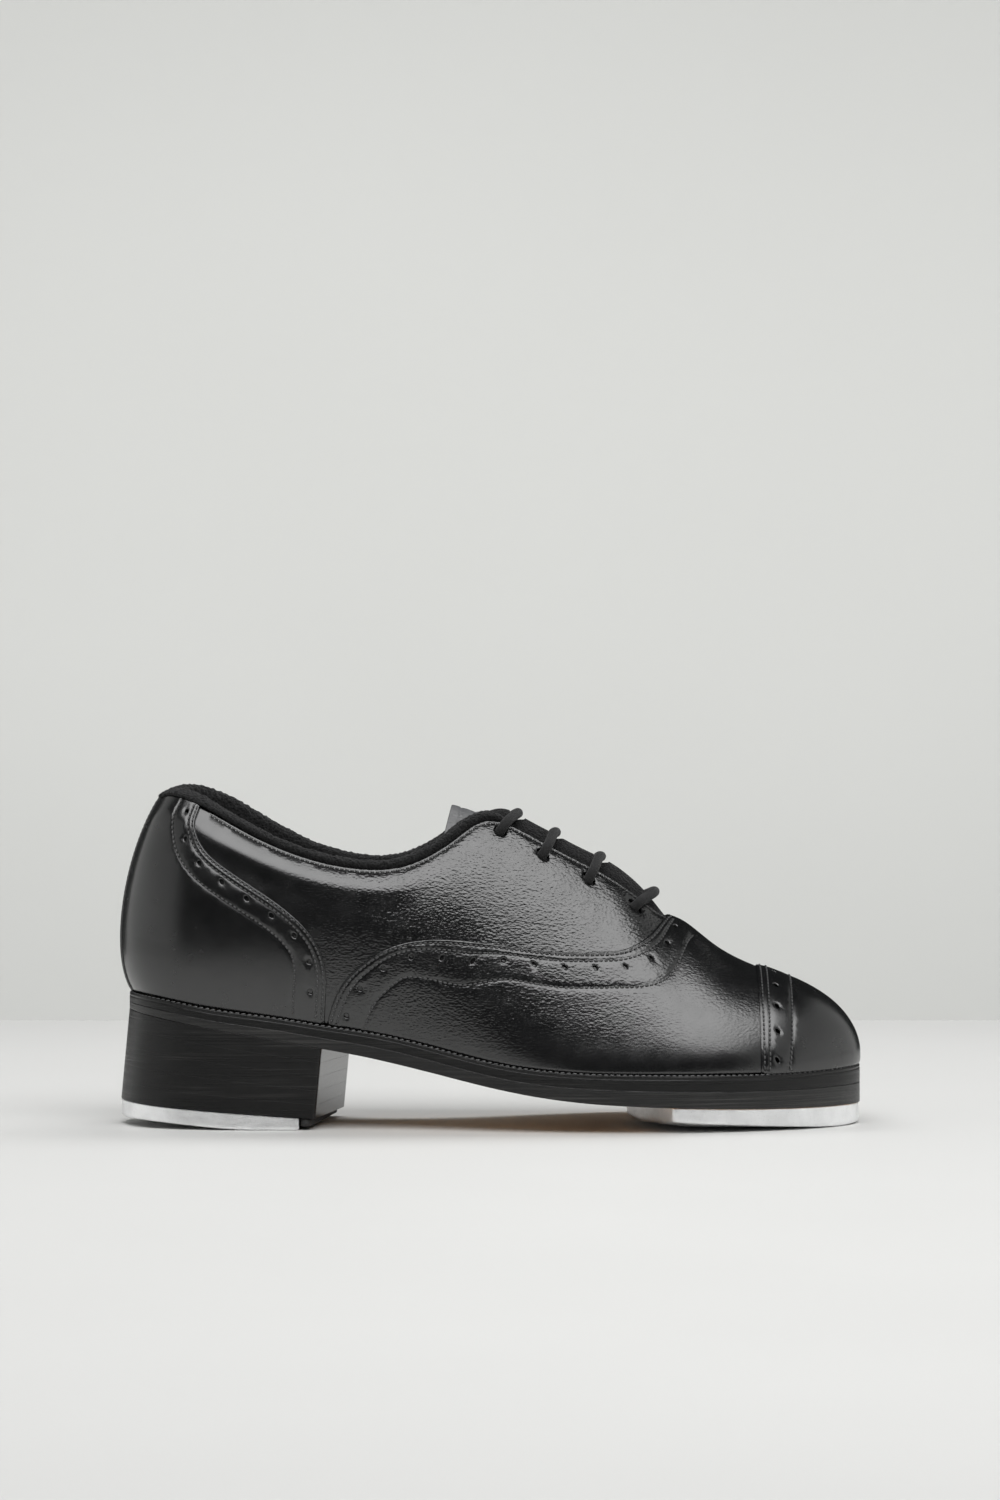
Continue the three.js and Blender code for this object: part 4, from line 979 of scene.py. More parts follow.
def stage_shade(nodes, scale, detail, dark, light):
    """A faint cloud between two shades."""
    return nodes.mix(nodes.ramp(nodes.noise(scale, detail)), dark, light)


def make_camera():
    data = bpy.data.cameras.new("camera")
    data.sensor_fit = "VERTICAL"
    data.sensor_height = 36
    data.lens = LENS
    camera = bpy.data.objects.new("camera", data)
    place_by_aim(camera, EYE, AIM)
    bpy.context.scene.camera = camera


def make_room():
    """A white table with a wall behind it, and glowing screens on the other three sides."""
    table = Nodes("table", (0.59, 0.59, 0.58), 0.5)
    shade = stage_shade(table, 3, 3, (0.58, 0.58, 0.57), (0.6, 0.6, 0.59))
    table_material = table.done(shade, None, table.bump(table.noise(600, 3), 0.00005))
    wall = Nodes("wall", (0.7, 0.705, 0.69), 0.9)
    wall_material = wall.done(
        stage_shade(wall, 1.5, 2, (0.69, 0.695, 0.675), (0.71, 0.715, 0.695)))
    screen = Nodes("screen", (0.7, 0.705, 0.7), 0.9, Emission_Strength=0.5)
    shade = stage_shade(screen, 1.5, 2, (0.7, 0.7, 0.69), (0.74, 0.745, 0.74))
    screen.feed(screen.bsdf.inputs["Emission Color"], shade)
    screen_material = screen.done(shade)

    bend = [(TABLE_EDGE + TABLE_BEND * math.sin(a), TABLE_BEND * math.cos(a) - TABLE_BEND)
            for a in np.linspace(0, math.pi / 2, 9)]
    for name, material, line in (
        ("table", table_material, [(-2.4, 0.0), (0.3, 0.0), *bend, (0.537, -0.9)]),
        ("wall", wall_material, [(WALL_Y, -1.5), (WALL_Y, 3.5)]),
    ):
        corners = [(x, y, z) for y, z in line for x in (-4.0, 4.0)]
        stage_sheet(name, corners, material, mirrored=name != "wall")
    for name, x in (("screen_left", -2.3), ("screen_right", 2.3)):
        corners = [(x, y, z) for z in (-0.9, 2.6) for y in (-2.2, 2.39)]
        stage_sheet(name, corners, screen_material)
    corners = [(x, -2.25, z) for z in (0.0, 3.0) for x in (-4.0, 4.0)]
    stage_sheet("screen_front", corners, screen_material, mirrored=False).visible_diffuse = False


def make_light():
    for name, (place, target, size, power, mirrored) in LAMPS.items():
        light = bpy.data.lights.new(name, "AREA")
        light.shape = "RECTANGLE"
        light.size, light.size_y = size
        light.energy = power
        lamp = bpy.data.objects.new(name, light)
        lamp.visible_glossy = mirrored
        lamp.visible_camera = False
        place_by_aim(lamp, place, target)
    world = bpy.data.worlds.new("studio")
    bpy.context.scene.world = world
    world.use_nodes = True
    sky = world.node_tree.nodes["Background"].inputs
    sky["Color"].default_value = (0.95, 1.0, 0.98, 1)
    sky["Strength"].default_value = 0.025
    bpy.context.scene.view_settings.view_transform = "Standard"


# ---- Upper ---------------------------------------------------------------------------------

ROWS = (1.1, 3.2)        # stitch rows from the edge of an overlay
DOT_ROW = 5.6            # the punched row
CAP_DOT_ROW = 6.1        # and on the toe cap
LAST_ROW = 11.6          # the third stitch row
WING_LAST_ROW = 12.8     # and on the vamp
DOT_RADIUS = 0.9
ROW_MARGIN = 0.8         # stitches keep this far from a panel's edge
STRIP_U = 1.5            # the counters start here, under the back strip
CAP_TOP = LEATHER + 0.25     # the toe cap lies on the vamp


def undulation(amount, bulge=0.0):
    """Slow hills and hollows in the leather, and a bulge where it goes over the collar's padding,
    in millimetres at chart points."""
    def relief(uw, side):
        places = surface(*from_chart(uw, side))
        hills = np.array([noise.noise(Vector((p[0] / 19, p[1] / 19, p[2] / 13))) for p in places])
        down, u = np.abs(uw[:, 1]), uw[:, 0]
        padding = np.exp(-((down - 9.5) / 4.6) ** 2)
        padding = padding * smoothstep(u, 4, 26) * (1 - smoothstep(u, 118, 142))
        return amount * hills + bulge * padding
    return relief


def chart_run(from_u, to_u):
    return np.linspace(from_u, to_u, max(int(abs(to_u - from_u) / LINE_STEP), 4))


def feather_line(side, from_u, to_u):
    u = chart_run(from_u, to_u)
    return np.stack([u, side * rib_length(side, u)], 1)


def top_line(side, from_u, to_u, inset=0.0):
    u = chart_run(from_u, to_u)
    return np.stack([u, np.full(len(u), side * inset)], 1)


def cross_line(x, side):
    """The chart line of a plane across the foot, from the feather line up to the ridge."""
    ks = np.linspace(RIDGE_START - 3, RIBS, 600)
    places = []
    for t in np.linspace(0, 1, 60):
        xs = np.maximum.accumulate(surface(side * ks, t)[:, 0])
        places.append(to_chart(side, float(np.interp(x, xs, ks)), t))
    return np.array(places)


def into(line, loop, distance):
    """An offset of a line towards the inside of a loop."""
    moved = offset_line(line, distance)
    if inside(moved[len(moved) // 2:len(moved) // 2 + 1], loop)[0]:
        return moved
    return offset_line(line, -distance)


def clip_to(line, loop, margin=ROW_MARGIN):
    keep = inside(line, loop) & (distance_to(line, closed(loop)) > margin)
    return line[keep]


def dots_along(line, pitch, start, side=None):
    """Punched holes along a chart line, an even distance apart on the surface."""
    run = run_length(surface(*from_chart(line, side)))
    at = np.arange(start, run[-1], pitch)
    return np.stack([np.interp(at, run, line[:, i]) for i in range(2)], 1)


def punched(dots):
    return [(dot, DOT_RADIUS) for dot in dots]


WING, COUNTER_LINE = (
    {side: resample(locate(side, smooth_line(edge, 2.0)), LINE_STEP) for side in SIDES}
    for edge in (WING_EDGE, COUNTER_EDGE)
)


def counter_panel(side):
    word = WORD[side]
    edge = COUNTER_LINE[side]
    edge = edge[np.abs(edge[:, 1]) > 0.4]
    outline = np.vstack([
        top_line(side, STRIP_U, edge[0, 0]), edge, feather_line(side, edge[-1, 0], STRIP_U),
    ])
    rows = [clip_to(into(edge, outline, d), outline) for d in (*ROWS, LAST_ROW)]
    dots = clip_to(dots_along(into(edge, outline, DOT_ROW), 11.3, 4, side), outline, 3.5)
    relief = undulation(0.04, 1.0)
    chart_panel(f"counter_{word}", outline, COUNTER, punched(dots), rows, relief, side=side,
                slot="upper_leather", replaces=[f"counter_{word}"])
    sew(f"counter_stitching_{word}", rows, relief, side)


def quarter_panel(side):
    word = WORD[side]
    low, rear, lap = WING[side], COUNTER_LINE[side], 8
    under = shift_line(low, -side * lap)
    if abs(under[len(under) // 2, 1]) < abs(low[len(low) // 2, 1]):
        under = shift_line(low, side * lap)
    back = shift_line(rear, lap)
    if back[len(back) // 2, 0] > rear[len(back) // 2, 0]:
        back = shift_line(rear, -lap)
    back = back[(np.abs(back[:, 1]) > 2) & (back[:, 0] > 3)]
    top_start, top_end = max(back[0, 0], 3), u_of(13.95)
    under = under[(under[:, 0] < top_end) & (np.abs(under[:, 1]) > 1.0)]
    outline = np.vstack([top_line(side, top_start, top_end), under[::-1], back[::-1]])
    along_collar = top_line(side, top_start + 8, u_of(COLLAR_END) - 0.8, 1.6)
    along_throat = top_line(side, u_of(COLLAR_END) + 0.8, u_of(13.6), 1.6)
    rows = [np.vstack([along_collar, along_throat])]
    holes = [(eye, EYELET_HOLE) for eye in locate(side, EYELETS)]
    relief = undulation(0.08, 1.0)
    chart_panel(f"quarter_{word}", outline, QUARTER, holes, rows, relief, side=side, top=UNDER,
                thick=QUARTER_LEATHER, round_edge=0.55, slot="upper_leather",
                replaces=[f"quarter_{word}"])
    sew(f"quarter_stitching_{word}", rows, relief, side, UNDER)


def vamp_panel():
    edge = {side: WING[side][np.abs(WING[side][:, 1]) > 0.5] for side in SIDES}
    throat = np.array([[u_of(14.0), 0.0]])
    cap = {side: cross_line(CAP_EDGE_X + 4, side) for side in SIDES}
    outline = np.vstack([
        edge[-1], throat, edge[1][::-1],
        feather_line(1, edge[1][0, 0], cap[1][0, 0]), cap[1], cap[-1][::-1],
        feather_line(-1, cap[-1][0, 0], edge[-1][0, 0]),
    ])
    rows, dots = [], []
    for side in SIDES:
        rows += [clip_to(into(edge[side], outline, d), outline) for d in (*ROWS, WING_LAST_ROW)]
        row = into(edge[side], outline, DOT_ROW)
        dots.append(clip_to(dots_along(row, 11.5, 5, side), outline, 3.0))
    rows = [row for row in rows if len(row) > 3]
    relief = undulation(0.06)
    chart_panel("vamp", outline, COVER, punched(np.vstack(dots)), rows, relief,
                slot="upper_leather", replaces=["vamp"])
    sew("vamp_stitching", rows, relief)


def toe_cap_panel():
    edge = {side: cross_line(CAP_EDGE_X, side) for side in SIDES}
    line = resample(np.vstack([edge[-1], edge[1][::-1]]), LINE_STEP)
    last_u = float(u_of(RIBS - 0.12))
    outline = np.vstack([
        line, feather_line(1, edge[1][0, 0], last_u), feather_line(-1, last_u, edge[-1][0, 0]),
    ])
    rows = [clip_to(into(line, outline, d), outline) for d in (*ROWS, LAST_ROW)]
    dots = clip_to(dots_along(into(line, outline, CAP_DOT_ROW), 11.0, 5), outline, 3.0)

    def skived(uw, _):
        return -0.65 * np.exp(-(distance_to(uw, line) / 2.2) ** 2)

    chart_panel("toe_cap", outline, CAP, punched(dots), rows, skived, top=CAP_TOP,
                slot="upper_leather", replaces=["toe_cap"])
    sew("toe_cap_stitching", rows, skived, top=CAP_TOP)


def back_strip():
    """The narrow strip over the back seam, widest at the sole."""
    ts = np.linspace(0, 1, 60)
    half = np.interp(ts, [0, 0.5, 1], [6.8, 6.4, 5.2])
    columns = np.linspace(-1, 1, 15)
    k = np.zeros((len(ts), len(columns)))
    for i, t in enumerate(ts):
        ks = np.linspace(-2.2, 2.2, 200)
        line = surface(ks, t)
        run = run_length(line)
        run -= np.interp(0, ks, run)
        k[i] = np.interp(columns * half[i], run, ks)
    t = np.broadcast_to(ts[:, None], k.shape)
    rise = 0.7 - 0.5 * np.clip((np.abs(columns) - 0.86) / 0.14, 0, 1)[None, :] ** 1.5
    seam = np.abs(columns) * half[:, None] - half[:, None] + 1.5
    rise = rise - 0.18 * np.exp(-(seam / 0.5) ** 2)
    layers = [lifted(k, t, rise), lifted(k, t, np.full(k.shape, -0.1))]
    layered_skin("back_strip", np.stack(layers), COUNTER, slot="upper_leather",
                 replaces=["back_strip"])
    rows = np.arange(len(ts))
    inner = np.linspace(2, len(ts) - 2, 400)
    blocks = []
    for column, height in ((1, 0.5), (7, 0.75), (-2, 0.5)):
        path = lifted(k[:, column], ts, np.full(len(ts), height))
        fine = np.stack([np.interp(inner, rows, path[:, i]) for i in range(3)], 1)
        outs = normal(np.interp(inner, rows, k[:, column]), np.interp(inner, rows, ts))
        blocks.append(stitches_on(fine, outs, STRIP_THREAD))
    join_stitches("back_strip_stitching", blocks)


# ---- Lining and collar ---------------------------------------------------------------------

def linings():
    """The lining of the quarters, thicker over the stiffener around the heel."""
    k, t = np.meshgrid(np.linspace(-13.4, 13.4, 215), np.linspace(0.01, 0.985, 40), indexing="ij")
    top = np.full(k.shape, -2.62)
    thick = LINING + 0.9 * (1 - smoothstep(np.abs(k), 5.5, 8.5))
    layered_skin("lining_quarters", np.stack([lifted(k, t, top), lifted(k, t, top - thick)]),
                 LINING_CLOTH, slot="lining_fabric", replaces=["lining_quarters"])


def collar_frames(ks):
    """The top line with the level way out and the way up."""
    top = surface(ks, 1.0)
    along = unit(surface(ks + 0.05, 1.0) - surface(ks - 0.05, 1.0))
    out = unit(np.stack([-along[:, 1], along[:, 0], np.zeros(len(ks))], 1))
    return top, out, np.cross(along, out)


COLLAR_SECTION = [
    (-3.4, -7.2), (-2.9, -5.0), (-2.75, -3.0), (-2.3, -1.5), (-1.8, -0.3), (-1.5, 0.7), (-2.2, 1.7),
    (-3.6, 2.3), (-5.2, 2.3), (-6.7, 1.7), (-7.7, 0.5), (-8.1, -1.4), (-7.9, -3.8), (-6.9, -6.4),
    (-5.3, -7.9), (-4.1, -8.0),
]


def collar():
    """The padded fleece roll around the ankle opening."""
    loop = np.vstack([COLLAR_SECTION, COLLAR_SECTION[:1]])
    section = resample(smooth_line(loop, 0.5)[:-1], 0.6, closed=True)
    reach = COLLAR_END + 0.35
    ks = np.linspace(-reach, reach, 560)
    top, out, up = collar_frames(ks)
    end = np.clip((reach - np.abs(ks)) / 0.5, 0, 1)
    size = 0.35 + 0.65 * np.sqrt(1 - (1 - end) ** 2)
    middle = section.mean(0)
    shape = middle + (section[None] - middle) * size[:, None, None]
    lip = smoothstep(shape[..., 1], -0.8, 0.6) * smoothstep(shape[..., 0], -5.0, -2.0)
    lip = lip * (1 - smoothstep(np.abs(ks), 1.6, 5.0))[:, None]
    shape = shape + lip[..., None] * (2.6, -0.6)
    rings = top[:, None] + out[:, None] * shape[..., 0:1] + up[:, None] * shape[..., 1:2]
    flat = rings.reshape(-1, 3)
    tufts, lumps = (
        np.array([noise.noise(Vector(p / width)) for p in flat]).reshape(rings.shape[:2])
        for width in (1.1, 9)
    )
    outward = unit(rings - rings.mean(1, keepdims=True))
    upper = np.clip((shape[..., 1] + 3) / 3, 0, 1)
    rings = rings + outward * ((0.6 * tufts + 0.25 * lumps) * upper)[..., None]
    roll = sleeve("collar_padding", rings, FLEECE, slot="collar_fabric",
                  replaces=["collar_padding"])


# ---- Tongue --------------------------------------------------------------------------------

TONGUE_CREST = [
    (-16, 120.8), (-10, 119.2), (-4, 117.6), (2, 118.9), (8, 118), (13, 115.4), (20.4, 111.3),
    (30, 106.2), (40, 101.3), (50.8, 94.8), (58.6, 87.4), (66, 78.2), (74, 69.8), (84, 62.5),
]
tongue_crest = profile(TONGUE_CREST)
TONGUE_SLOPE, TONGUE_ROUND, TONGUE_HALF = 1.3, 4.0, 15.2


def under_shell(points, clearance):
    """Points moved in so that they stay this far under the outer leather surface."""
    ks, ts = np.meshgrid(np.concatenate([np.linspace(-17, -7, 160), np.linspace(7, 17, 160)]),
                         np.linspace(0.55, 1, 60), indexing="ij")
    base = surface(ks, ts).reshape(-1, 3)
    out = normal(ks, ts).reshape(-1, 3)
    tree = kdtree.KDTree(len(base))
    for i, p in enumerate(base):
        tree.insert(Vector(p), i)
    tree.balance()
    moved = points.copy()
    open_edge = ((np.abs(ks) < RIDGE_START) & (ts > 0.999)).ravel()
    for n, p in enumerate(points):
        _, i, gap = tree.find(Vector(p))
        if gap > 14 or open_edge[i]:
            continue
        depth = (p - base[i]) @ out[i]
        if depth > -clearance:
            moved[n] = p - out[i] * (depth + clearance)
    return moved


def under_lace(points):
    """Points pushed down where the lace presses on the tongue."""
    moved = points.copy()
    for p in LACE_LINE[::2]:
        pressed = p[2] - LACE_RADIUS - 0.5
        near = np.linalg.norm(moved[:, :2] - p[:2], axis=1) < LACE_RADIUS + 0.7
        near &= (moved[:, 2] > pressed) & (moved[:, 2] < p[2] + 5)
        moved[near, 2] = pressed
    return moved


def tongue_skin(name, from_x, to_x, thickness, material, cells, relief, **kind):
    """A saddle of cloth or leather along the tongue's crest, with rounded edges."""
    x, y = np.meshgrid(np.linspace(from_x, to_x, cells[0]),
                       np.linspace(-TONGUE_HALF, TONGUE_HALF, cells[1]), indexing="ij")
    drop = np.hypot(TONGUE_SLOPE * y, TONGUE_ROUND) - TONGUE_ROUND
    thick = thickness(x)
    edge = np.clip((TONGUE_HALF - np.abs(y)) / 2.0, 0, 1)
    ends = np.clip(np.minimum(x - from_x, to_x - x) / (0.35 * thick), 0, 1)
    crown = np.sqrt(1 - (1 - edge) ** 2) * np.sqrt(1 - (1 - ends) ** 2)
    high = tongue_crest(x) - drop - thick * 0.5 * (1 - crown) + relief(x, y)
    low = tongue_crest(x) - drop - thick * (0.5 + 0.5 * crown)
    layers = np.stack([np.stack([x - 0.25 * drop, y, z], -1) for z in (high, low)])
    points = under_lace(under_shell(layers.reshape(-1, 3), clearance=3.9))
    return layered_skin(name, points.reshape(layers.shape), material, body="tongue", **kind)


def tongue():
    def seams(x, y):
        across = np.abs(y) - 6.9
        seam = 0.5 * np.exp(-(across / 0.45) ** 2)
        seam = seam - 0.7 * np.exp(-((np.abs(across) - 1.2) / 0.5) ** 2)
        bulge = 0.09 * np.sin(x / 3.1 + 0.4 * y) * np.exp(-(y / 9) ** 2)
        return seam * np.clip((x + 2) / 6, 0, 1) + bulge

    pad = tongue_skin("tongue_padding", -4.2, 76, lambda x: np.where(x > 60, 3.0, 4.6), PAD_CLOTH,
                      (150, 81), seams, slot="collar_fabric", replaces=["tongue_padding"])

    def creases(x, y):
        waves = 0.08 * np.sin((x + 0.35 * y) * 1.3 + 1.3 * np.sin(y * 0.45))
        return waves - 0.25 * np.exp(-((x + 11.2) / 0.35) ** 2)

    tongue_skin("tongue_tip", -15.2, -2.6, lambda x: np.full(x.shape, 2.0), TONGUE_LEATHER,
                (60, 61), creases, slot="upper_leather", replaces=["tongue_tip"])


# ---- Lace ----------------------------------------------------------------------------------

BAR_CRESTS = [(10.2, 117.3), (24.6, 110), (41.7, 100.9), (62, 87.6)]
LACE_OUTSIDE = -1.0 + LACE_RADIUS        # its middle, over the quarters
LACE_INSIDE = -4.7 - LACE_RADIUS         # and under the lining


def eyelet_frame(side, row):
    """One hole for the lace, with the way out of the leather and the way up along it."""
    k, t = from_chart(locate(side, EYELETS[row])[0], side)
    at = surface(k, t)
    out = normal(k, t)
    up = unit(surface(k, min(t + 0.03, 1)) - surface(k, t - 0.03))
    return {"k": float(k), "t": float(t), "at": at, "out": out, "up": up}


EYES = {side: [eyelet_frame(side, row) for row in range(len(EYELETS))] for side in SIDES}


def through_hole(eye, shoulder, heading):
    """The points that take the lace through a hole, from the outside in: it comes from a
    shoulder of the bar and goes on inside with the given heading."""
    at, out = eye["at"], eye["out"]

    def flat(v):
        return unit(v - out * (v @ out))
    inward, upward = flat(heading), flat(shoulder - at)
    return [
        at + upward * 3.6 + out * LACE_OUTSIDE,
        at + upward * 1.5 + out * (LACE_OUTSIDE - 0.5),
        at + out * -2.4,
        at + inward * 1.5 + out * (LACE_INSIDE + 1),
        at + inward * 4 + out * LACE_INSIDE,
    ]


def underside(side, start, end, share, down):
    """A point under the lining between two holes, moved down the slope by an amount."""
    a, b = EYES[side][start], EYES[side][end]
    k = a["k"] + (b["k"] - a["k"]) * share
    t = a["t"] + (b["t"] - a["t"]) * share - down / 100
    return surface(k, t) + normal(k, t) * LACE_INSIDE


def lace_points():
    """The lace's route: it starts and ends inside, under the outer quarter, and crosses over
    the tongue four times."""
    outer = EYES[-1]

    def towards(side, start, end):
        return EYES[side][end]["at"] - EYES[side][start]["at"]

    def cross(row, start_side, start_heading, end_heading):
        x, z = BAR_CRESTS[row]
        bar = [np.array([x - 1, y, z - abs(y) / 12]) for y in (-6, 0, 6)]
        bar[1][0] = x
        bar = bar if start_side < 0 else bar[::-1]
        start = through_hole(EYES[start_side][row], bar[0], start_heading)[::-1]
        end = through_hole(EYES[-start_side][row], bar[2], end_heading)
        return [*start, *bar, *end]

    skip = towards(-1, 1, 3) - outer[1]["up"] * 16
    skip_back = towards(-1, 3, 1) - outer[3]["up"] * 16
    return [
        underside(-1, 0, 0, 0, 24), underside(-1, 0, 0, 0, 14),
        *cross(0, -1, -outer[0]["up"], towards(1, 0, 1)),
        underside(1, 0, 1, 0.5, 0),
        *cross(1, 1, towards(1, 1, 0), skip),
        underside(-1, 1, 3, 0.3, 9), underside(-1, 1, 3, 0.5, 10), underside(-1, 1, 3, 0.7, 9),
        *cross(3, -1, skip_back, towards(1, 3, 2)),
        underside(1, 3, 2, 0.5, 0),
        *cross(2, 1, towards(1, 2, 3), towards(-1, 2, 1)),
        underside(-1, 2, 1, 0.42, -1),
    ]


def centripetal(points, per_span):
    """A centripetal Catmull-Rom curve through points."""
    points = np.asarray(points)
    ends = [2 * points[0] - points[1], *points, 2 * points[-1] - points[-2]]
    result = []
    for p0, p1, p2, p3 in zip(ends, ends[1:], ends[2:], ends[3:]):
        t0 = 0.0
        t1 = t0 + math.sqrt(np.linalg.norm(p1 - p0))
        t2 = t1 + math.sqrt(np.linalg.norm(p2 - p1))
        t3 = t2 + math.sqrt(np.linalg.norm(p3 - p2))
        t = np.linspace(t1, t2, per_span, endpoint=False)[:, None]
        a1 = (t1 - t) / (t1 - t0) * p0 + (t - t0) / (t1 - t0) * p1
        a2 = (t2 - t) / (t2 - t1) * p1 + (t - t1) / (t2 - t1) * p2
        a3 = (t3 - t) / (t3 - t2) * p2 + (t - t2) / (t3 - t2) * p3
        b1 = (t2 - t) / (t2 - t0) * a1 + (t - t0) / (t2 - t0) * a2
        b2 = (t3 - t) / (t3 - t1) * a2 + (t - t1) / (t3 - t1) * a3
        result.append((t2 - t) / (t2 - t1) * b1 + (t - t1) / (t2 - t1) * b2)
    result.append(points[-1:])
    return np.vstack(result)


LACE_LINE = resample(centripetal(lace_points(), 24), 0.4)


def lace():
    """A round braided cord along its path."""
    line = LACE_LINE
    along = unit(np.gradient(line, axis=0))
    first = unit(np.cross(along[0], (0.0, 0.0, 1.0)))
    frames = [first]
    for direction in along[1:]:
        side = frames[-1] - direction * (frames[-1] @ direction)
        frames.append(unit(side))
    side = np.array(frames)
    other = np.cross(along, side)
    turn = np.linspace(0, 2 * math.pi, ROUND_SIDES, endpoint=False)
    strands, lay = 8, 2 * math.pi / 5.2
    twist = run_length(line)[:, None] * lay * strands / 2
    weave = np.maximum(np.cos(strands * turn[None] + twist), np.cos(strands * turn[None] - twist))
    radius = LACE_RADIUS * (0.955 + 0.055 * weave)
    rings = line[:, None] + (np.cos(turn)[None, :, None] * side[:, None]
                             + np.sin(turn)[None, :, None] * other[:, None]) * radius[..., None]
    sleeve("lace", rings, LACE, slot="lace_cord", replaces=["lace"])


# ---- Sole and heel -------------------------------------------------------------------------

def welt_bottom(x):
    return feather(x) - WELT


def midsole_top(x):
    return welt_bottom(x) - SEAM


def midsole_bottom(x):
    return midsole_top(x) - MIDSOLE_SHARE * (midsole_top(x) - SEAM - ground(x))


def sole_outline(out, last=RIBS, count=420):
    ks = np.linspace(-last, last, count)
    return plan(ks[:-1] if last == RIBS else ks, out)


WELT_SECTION = [
    (-4.8, 0.0), (0.2, 0.0), (1.0, -0.02), (1.28, -0.12), (1.42, -0.35), (1.45, -0.8),
    (1.36, -1.1), (1.2, -1.3), (1.36, -1.5), (1.45, -1.6), (1.45, -WELT), (-4.8, -WELT),
]


def welt():
    """The strip between the upper and the midsole, with its seam on the top edge."""
    ks = np.linspace(-RIBS, RIBS, 700)[:-1]
    rings = []
    for out, rise in WELT_SECTION:
        flat = plan(ks, out)
        rings.append(np.column_stack([flat, feather(flat[:, 0]) + rise]))
    rings = np.stack(rings, 1)
    rows, columns = rings.shape[:2]
    faces = grid_faces(rows, columns, wrap=True)
    last = (rows - 1) * columns
    for j in range(columns):
        nxt = (j + 1) % columns
        faces.append((last + j, last + nxt, nxt, j))
    make_object("welt", rings.reshape(-1, 3), faces, EDGE, slot="edge_leather", replaces=["welt"])
    flat = plan(np.linspace(-RIBS, RIBS, 2400)[:-1], 0.85)
    path = np.column_stack([flat, feather(flat[:, 0]) + 0.02])
    outs = np.tile([0.0, 0.0, 1.0], (len(path), 1))
    join_stitches("welt_stitching", [stitches_on(path, outs, WELT_THREAD, WELT_PITCH)])


def sole():
    outline = resample(sole_outline(SOLE_OVERHANG), 1.4, closed=True)
    slab("midsole", outline, lambda x, y: midsole_top(x), lambda x, y: midsole_bottom(x), EDGE,
         edge=0.04, cell=5, slot="edge_leather", replaces=["midsole"])
    slab("outsole", outline, lambda x, y: midsole_bottom(x) - SEAM, lambda x, y: ground(x),
         OUTSOLE, edge=0.3, cell=4, wall=4, slot="outsole_leather", replaces=["outsole"])
    inner = resample(sole_outline(-6.4), 1.6, closed=True)
    slab("sock_liner", inner, lambda x, y: feather(x) + 4.1, lambda x, y: feather(x) + 3.1,
         SOCK_CLOTH, edge=0.4, cell=4, slot="sock_fabric", replaces=["sock_liner"])


def heel_base(x):
    share = (x - HEEL_BACK[0]) / (HEEL_FRONT[0] - HEEL_BACK[0])
    return HEEL_BACK[1] + share * (HEEL_FRONT[1] - HEEL_BACK[1])


BREAST_NORMAL = np.array([math.cos(BREAST_TURN), -math.sin(BREAST_TURN)])


def from_gap(points):
    """The points of a broken loop in order, from the one after its widest gap."""
    start = np.argmax(np.linalg.norm(np.roll(points, 1, axis=0) - points, axis=1))
    return np.roll(points, -start, axis=0)


def worn(loop, step, times):
    """A closed loop with its corners worn round."""
    loop = resample(loop, step, closed=True)
    for _ in range(times):
        loop = (np.roll(loop, 1, axis=0) + 2 * loop + np.roll(loop, -1, axis=0)) / 4
    return resample(loop, 0.9, closed=True)


def behind_breast(overhang, setback=0.0):
    """The outline of the sole behind the heel's front plane."""
    loop = resample(sole_outline(overhang, HEEL_RIBS, 300), 0.5, closed=True)
    ahead = (loop - [BREAST_X, BREAST_Y]) @ BREAST_NORMAL + setback
    return worn(from_gap(loop[ahead < 0]), 0.5, 5)


def heel():
    """The stack of lifts, leaning back on its way down to the tap."""
    outline = behind_breast(SOLE_OVERHANG)

    def level(share, drop):
        return lambda x, y: (ground(x) - 0.06) * (1 - share) + heel_base(x) * share - drop

    def lean(points):
        moved = points.copy()
        moved[:, 0] -= HEEL_SETBACK * (ground(points[:, 0]) - points[:, 2])
        return moved

    for i in range(HEEL_LIFTS):
        drop, top_edge = (0.01, 0.03) if i else (0.0, 0.14)
        slab(f"heel_lift_{i + 1}", outline, level(i / HEEL_LIFTS, drop),
             level((i + 1) / HEEL_LIFTS, 0.0), HEEL, edge=0.03, top_edge=top_edge, cell=6, wall=2,
             place=lean, slot="heel_leather", replaces=[f"heel_lift_{i + 1}"])


PAD_EDGE = [
    (-68, -44), (-70.8, -34), (-72.5, -27), (-80, -21), (-90, -15.5), (-96.5, -5), (-95, 6),
    (-87, 13), (-76, 17.5), (-67, 22), (-63, 30), (-61, 44),
]
TAP_REAR = [
    (69, -52), (67, -45), (61.5, -35), (55, -20), (51.8, -4), (52.4, 10), (58, 28), (67, 42),
    (72, 52),
]
TOE_SCREWS = [(120, 4), (84, -25), (86, 27)]
HEEL_SCREWS = [(-128, 4), (-92, -23.5), (-86, 21.5)]
REAR_SCREW_LIFT = 2.6    # it sits higher, in the raised rear of the heel tap
TAP_SHIFT = 3.4          # the heel tap sits this much further back than the sole above it
TAP_GAP = 0.12           # over a tap


def toe_tap_under(x, y):
    """The toe tap's under face: flat in the middle, raised to the sides, the rear and the tip."""
    side = np.maximum(np.abs(y - 1) - 12, 0)
    rear = np.maximum(80 - x, 0) / 28
    front = np.maximum(x - 128, 0) / 12
    return 0.0032 * side ** 2 + 3.2 * rear ** 2 + 0.7 * front ** 2


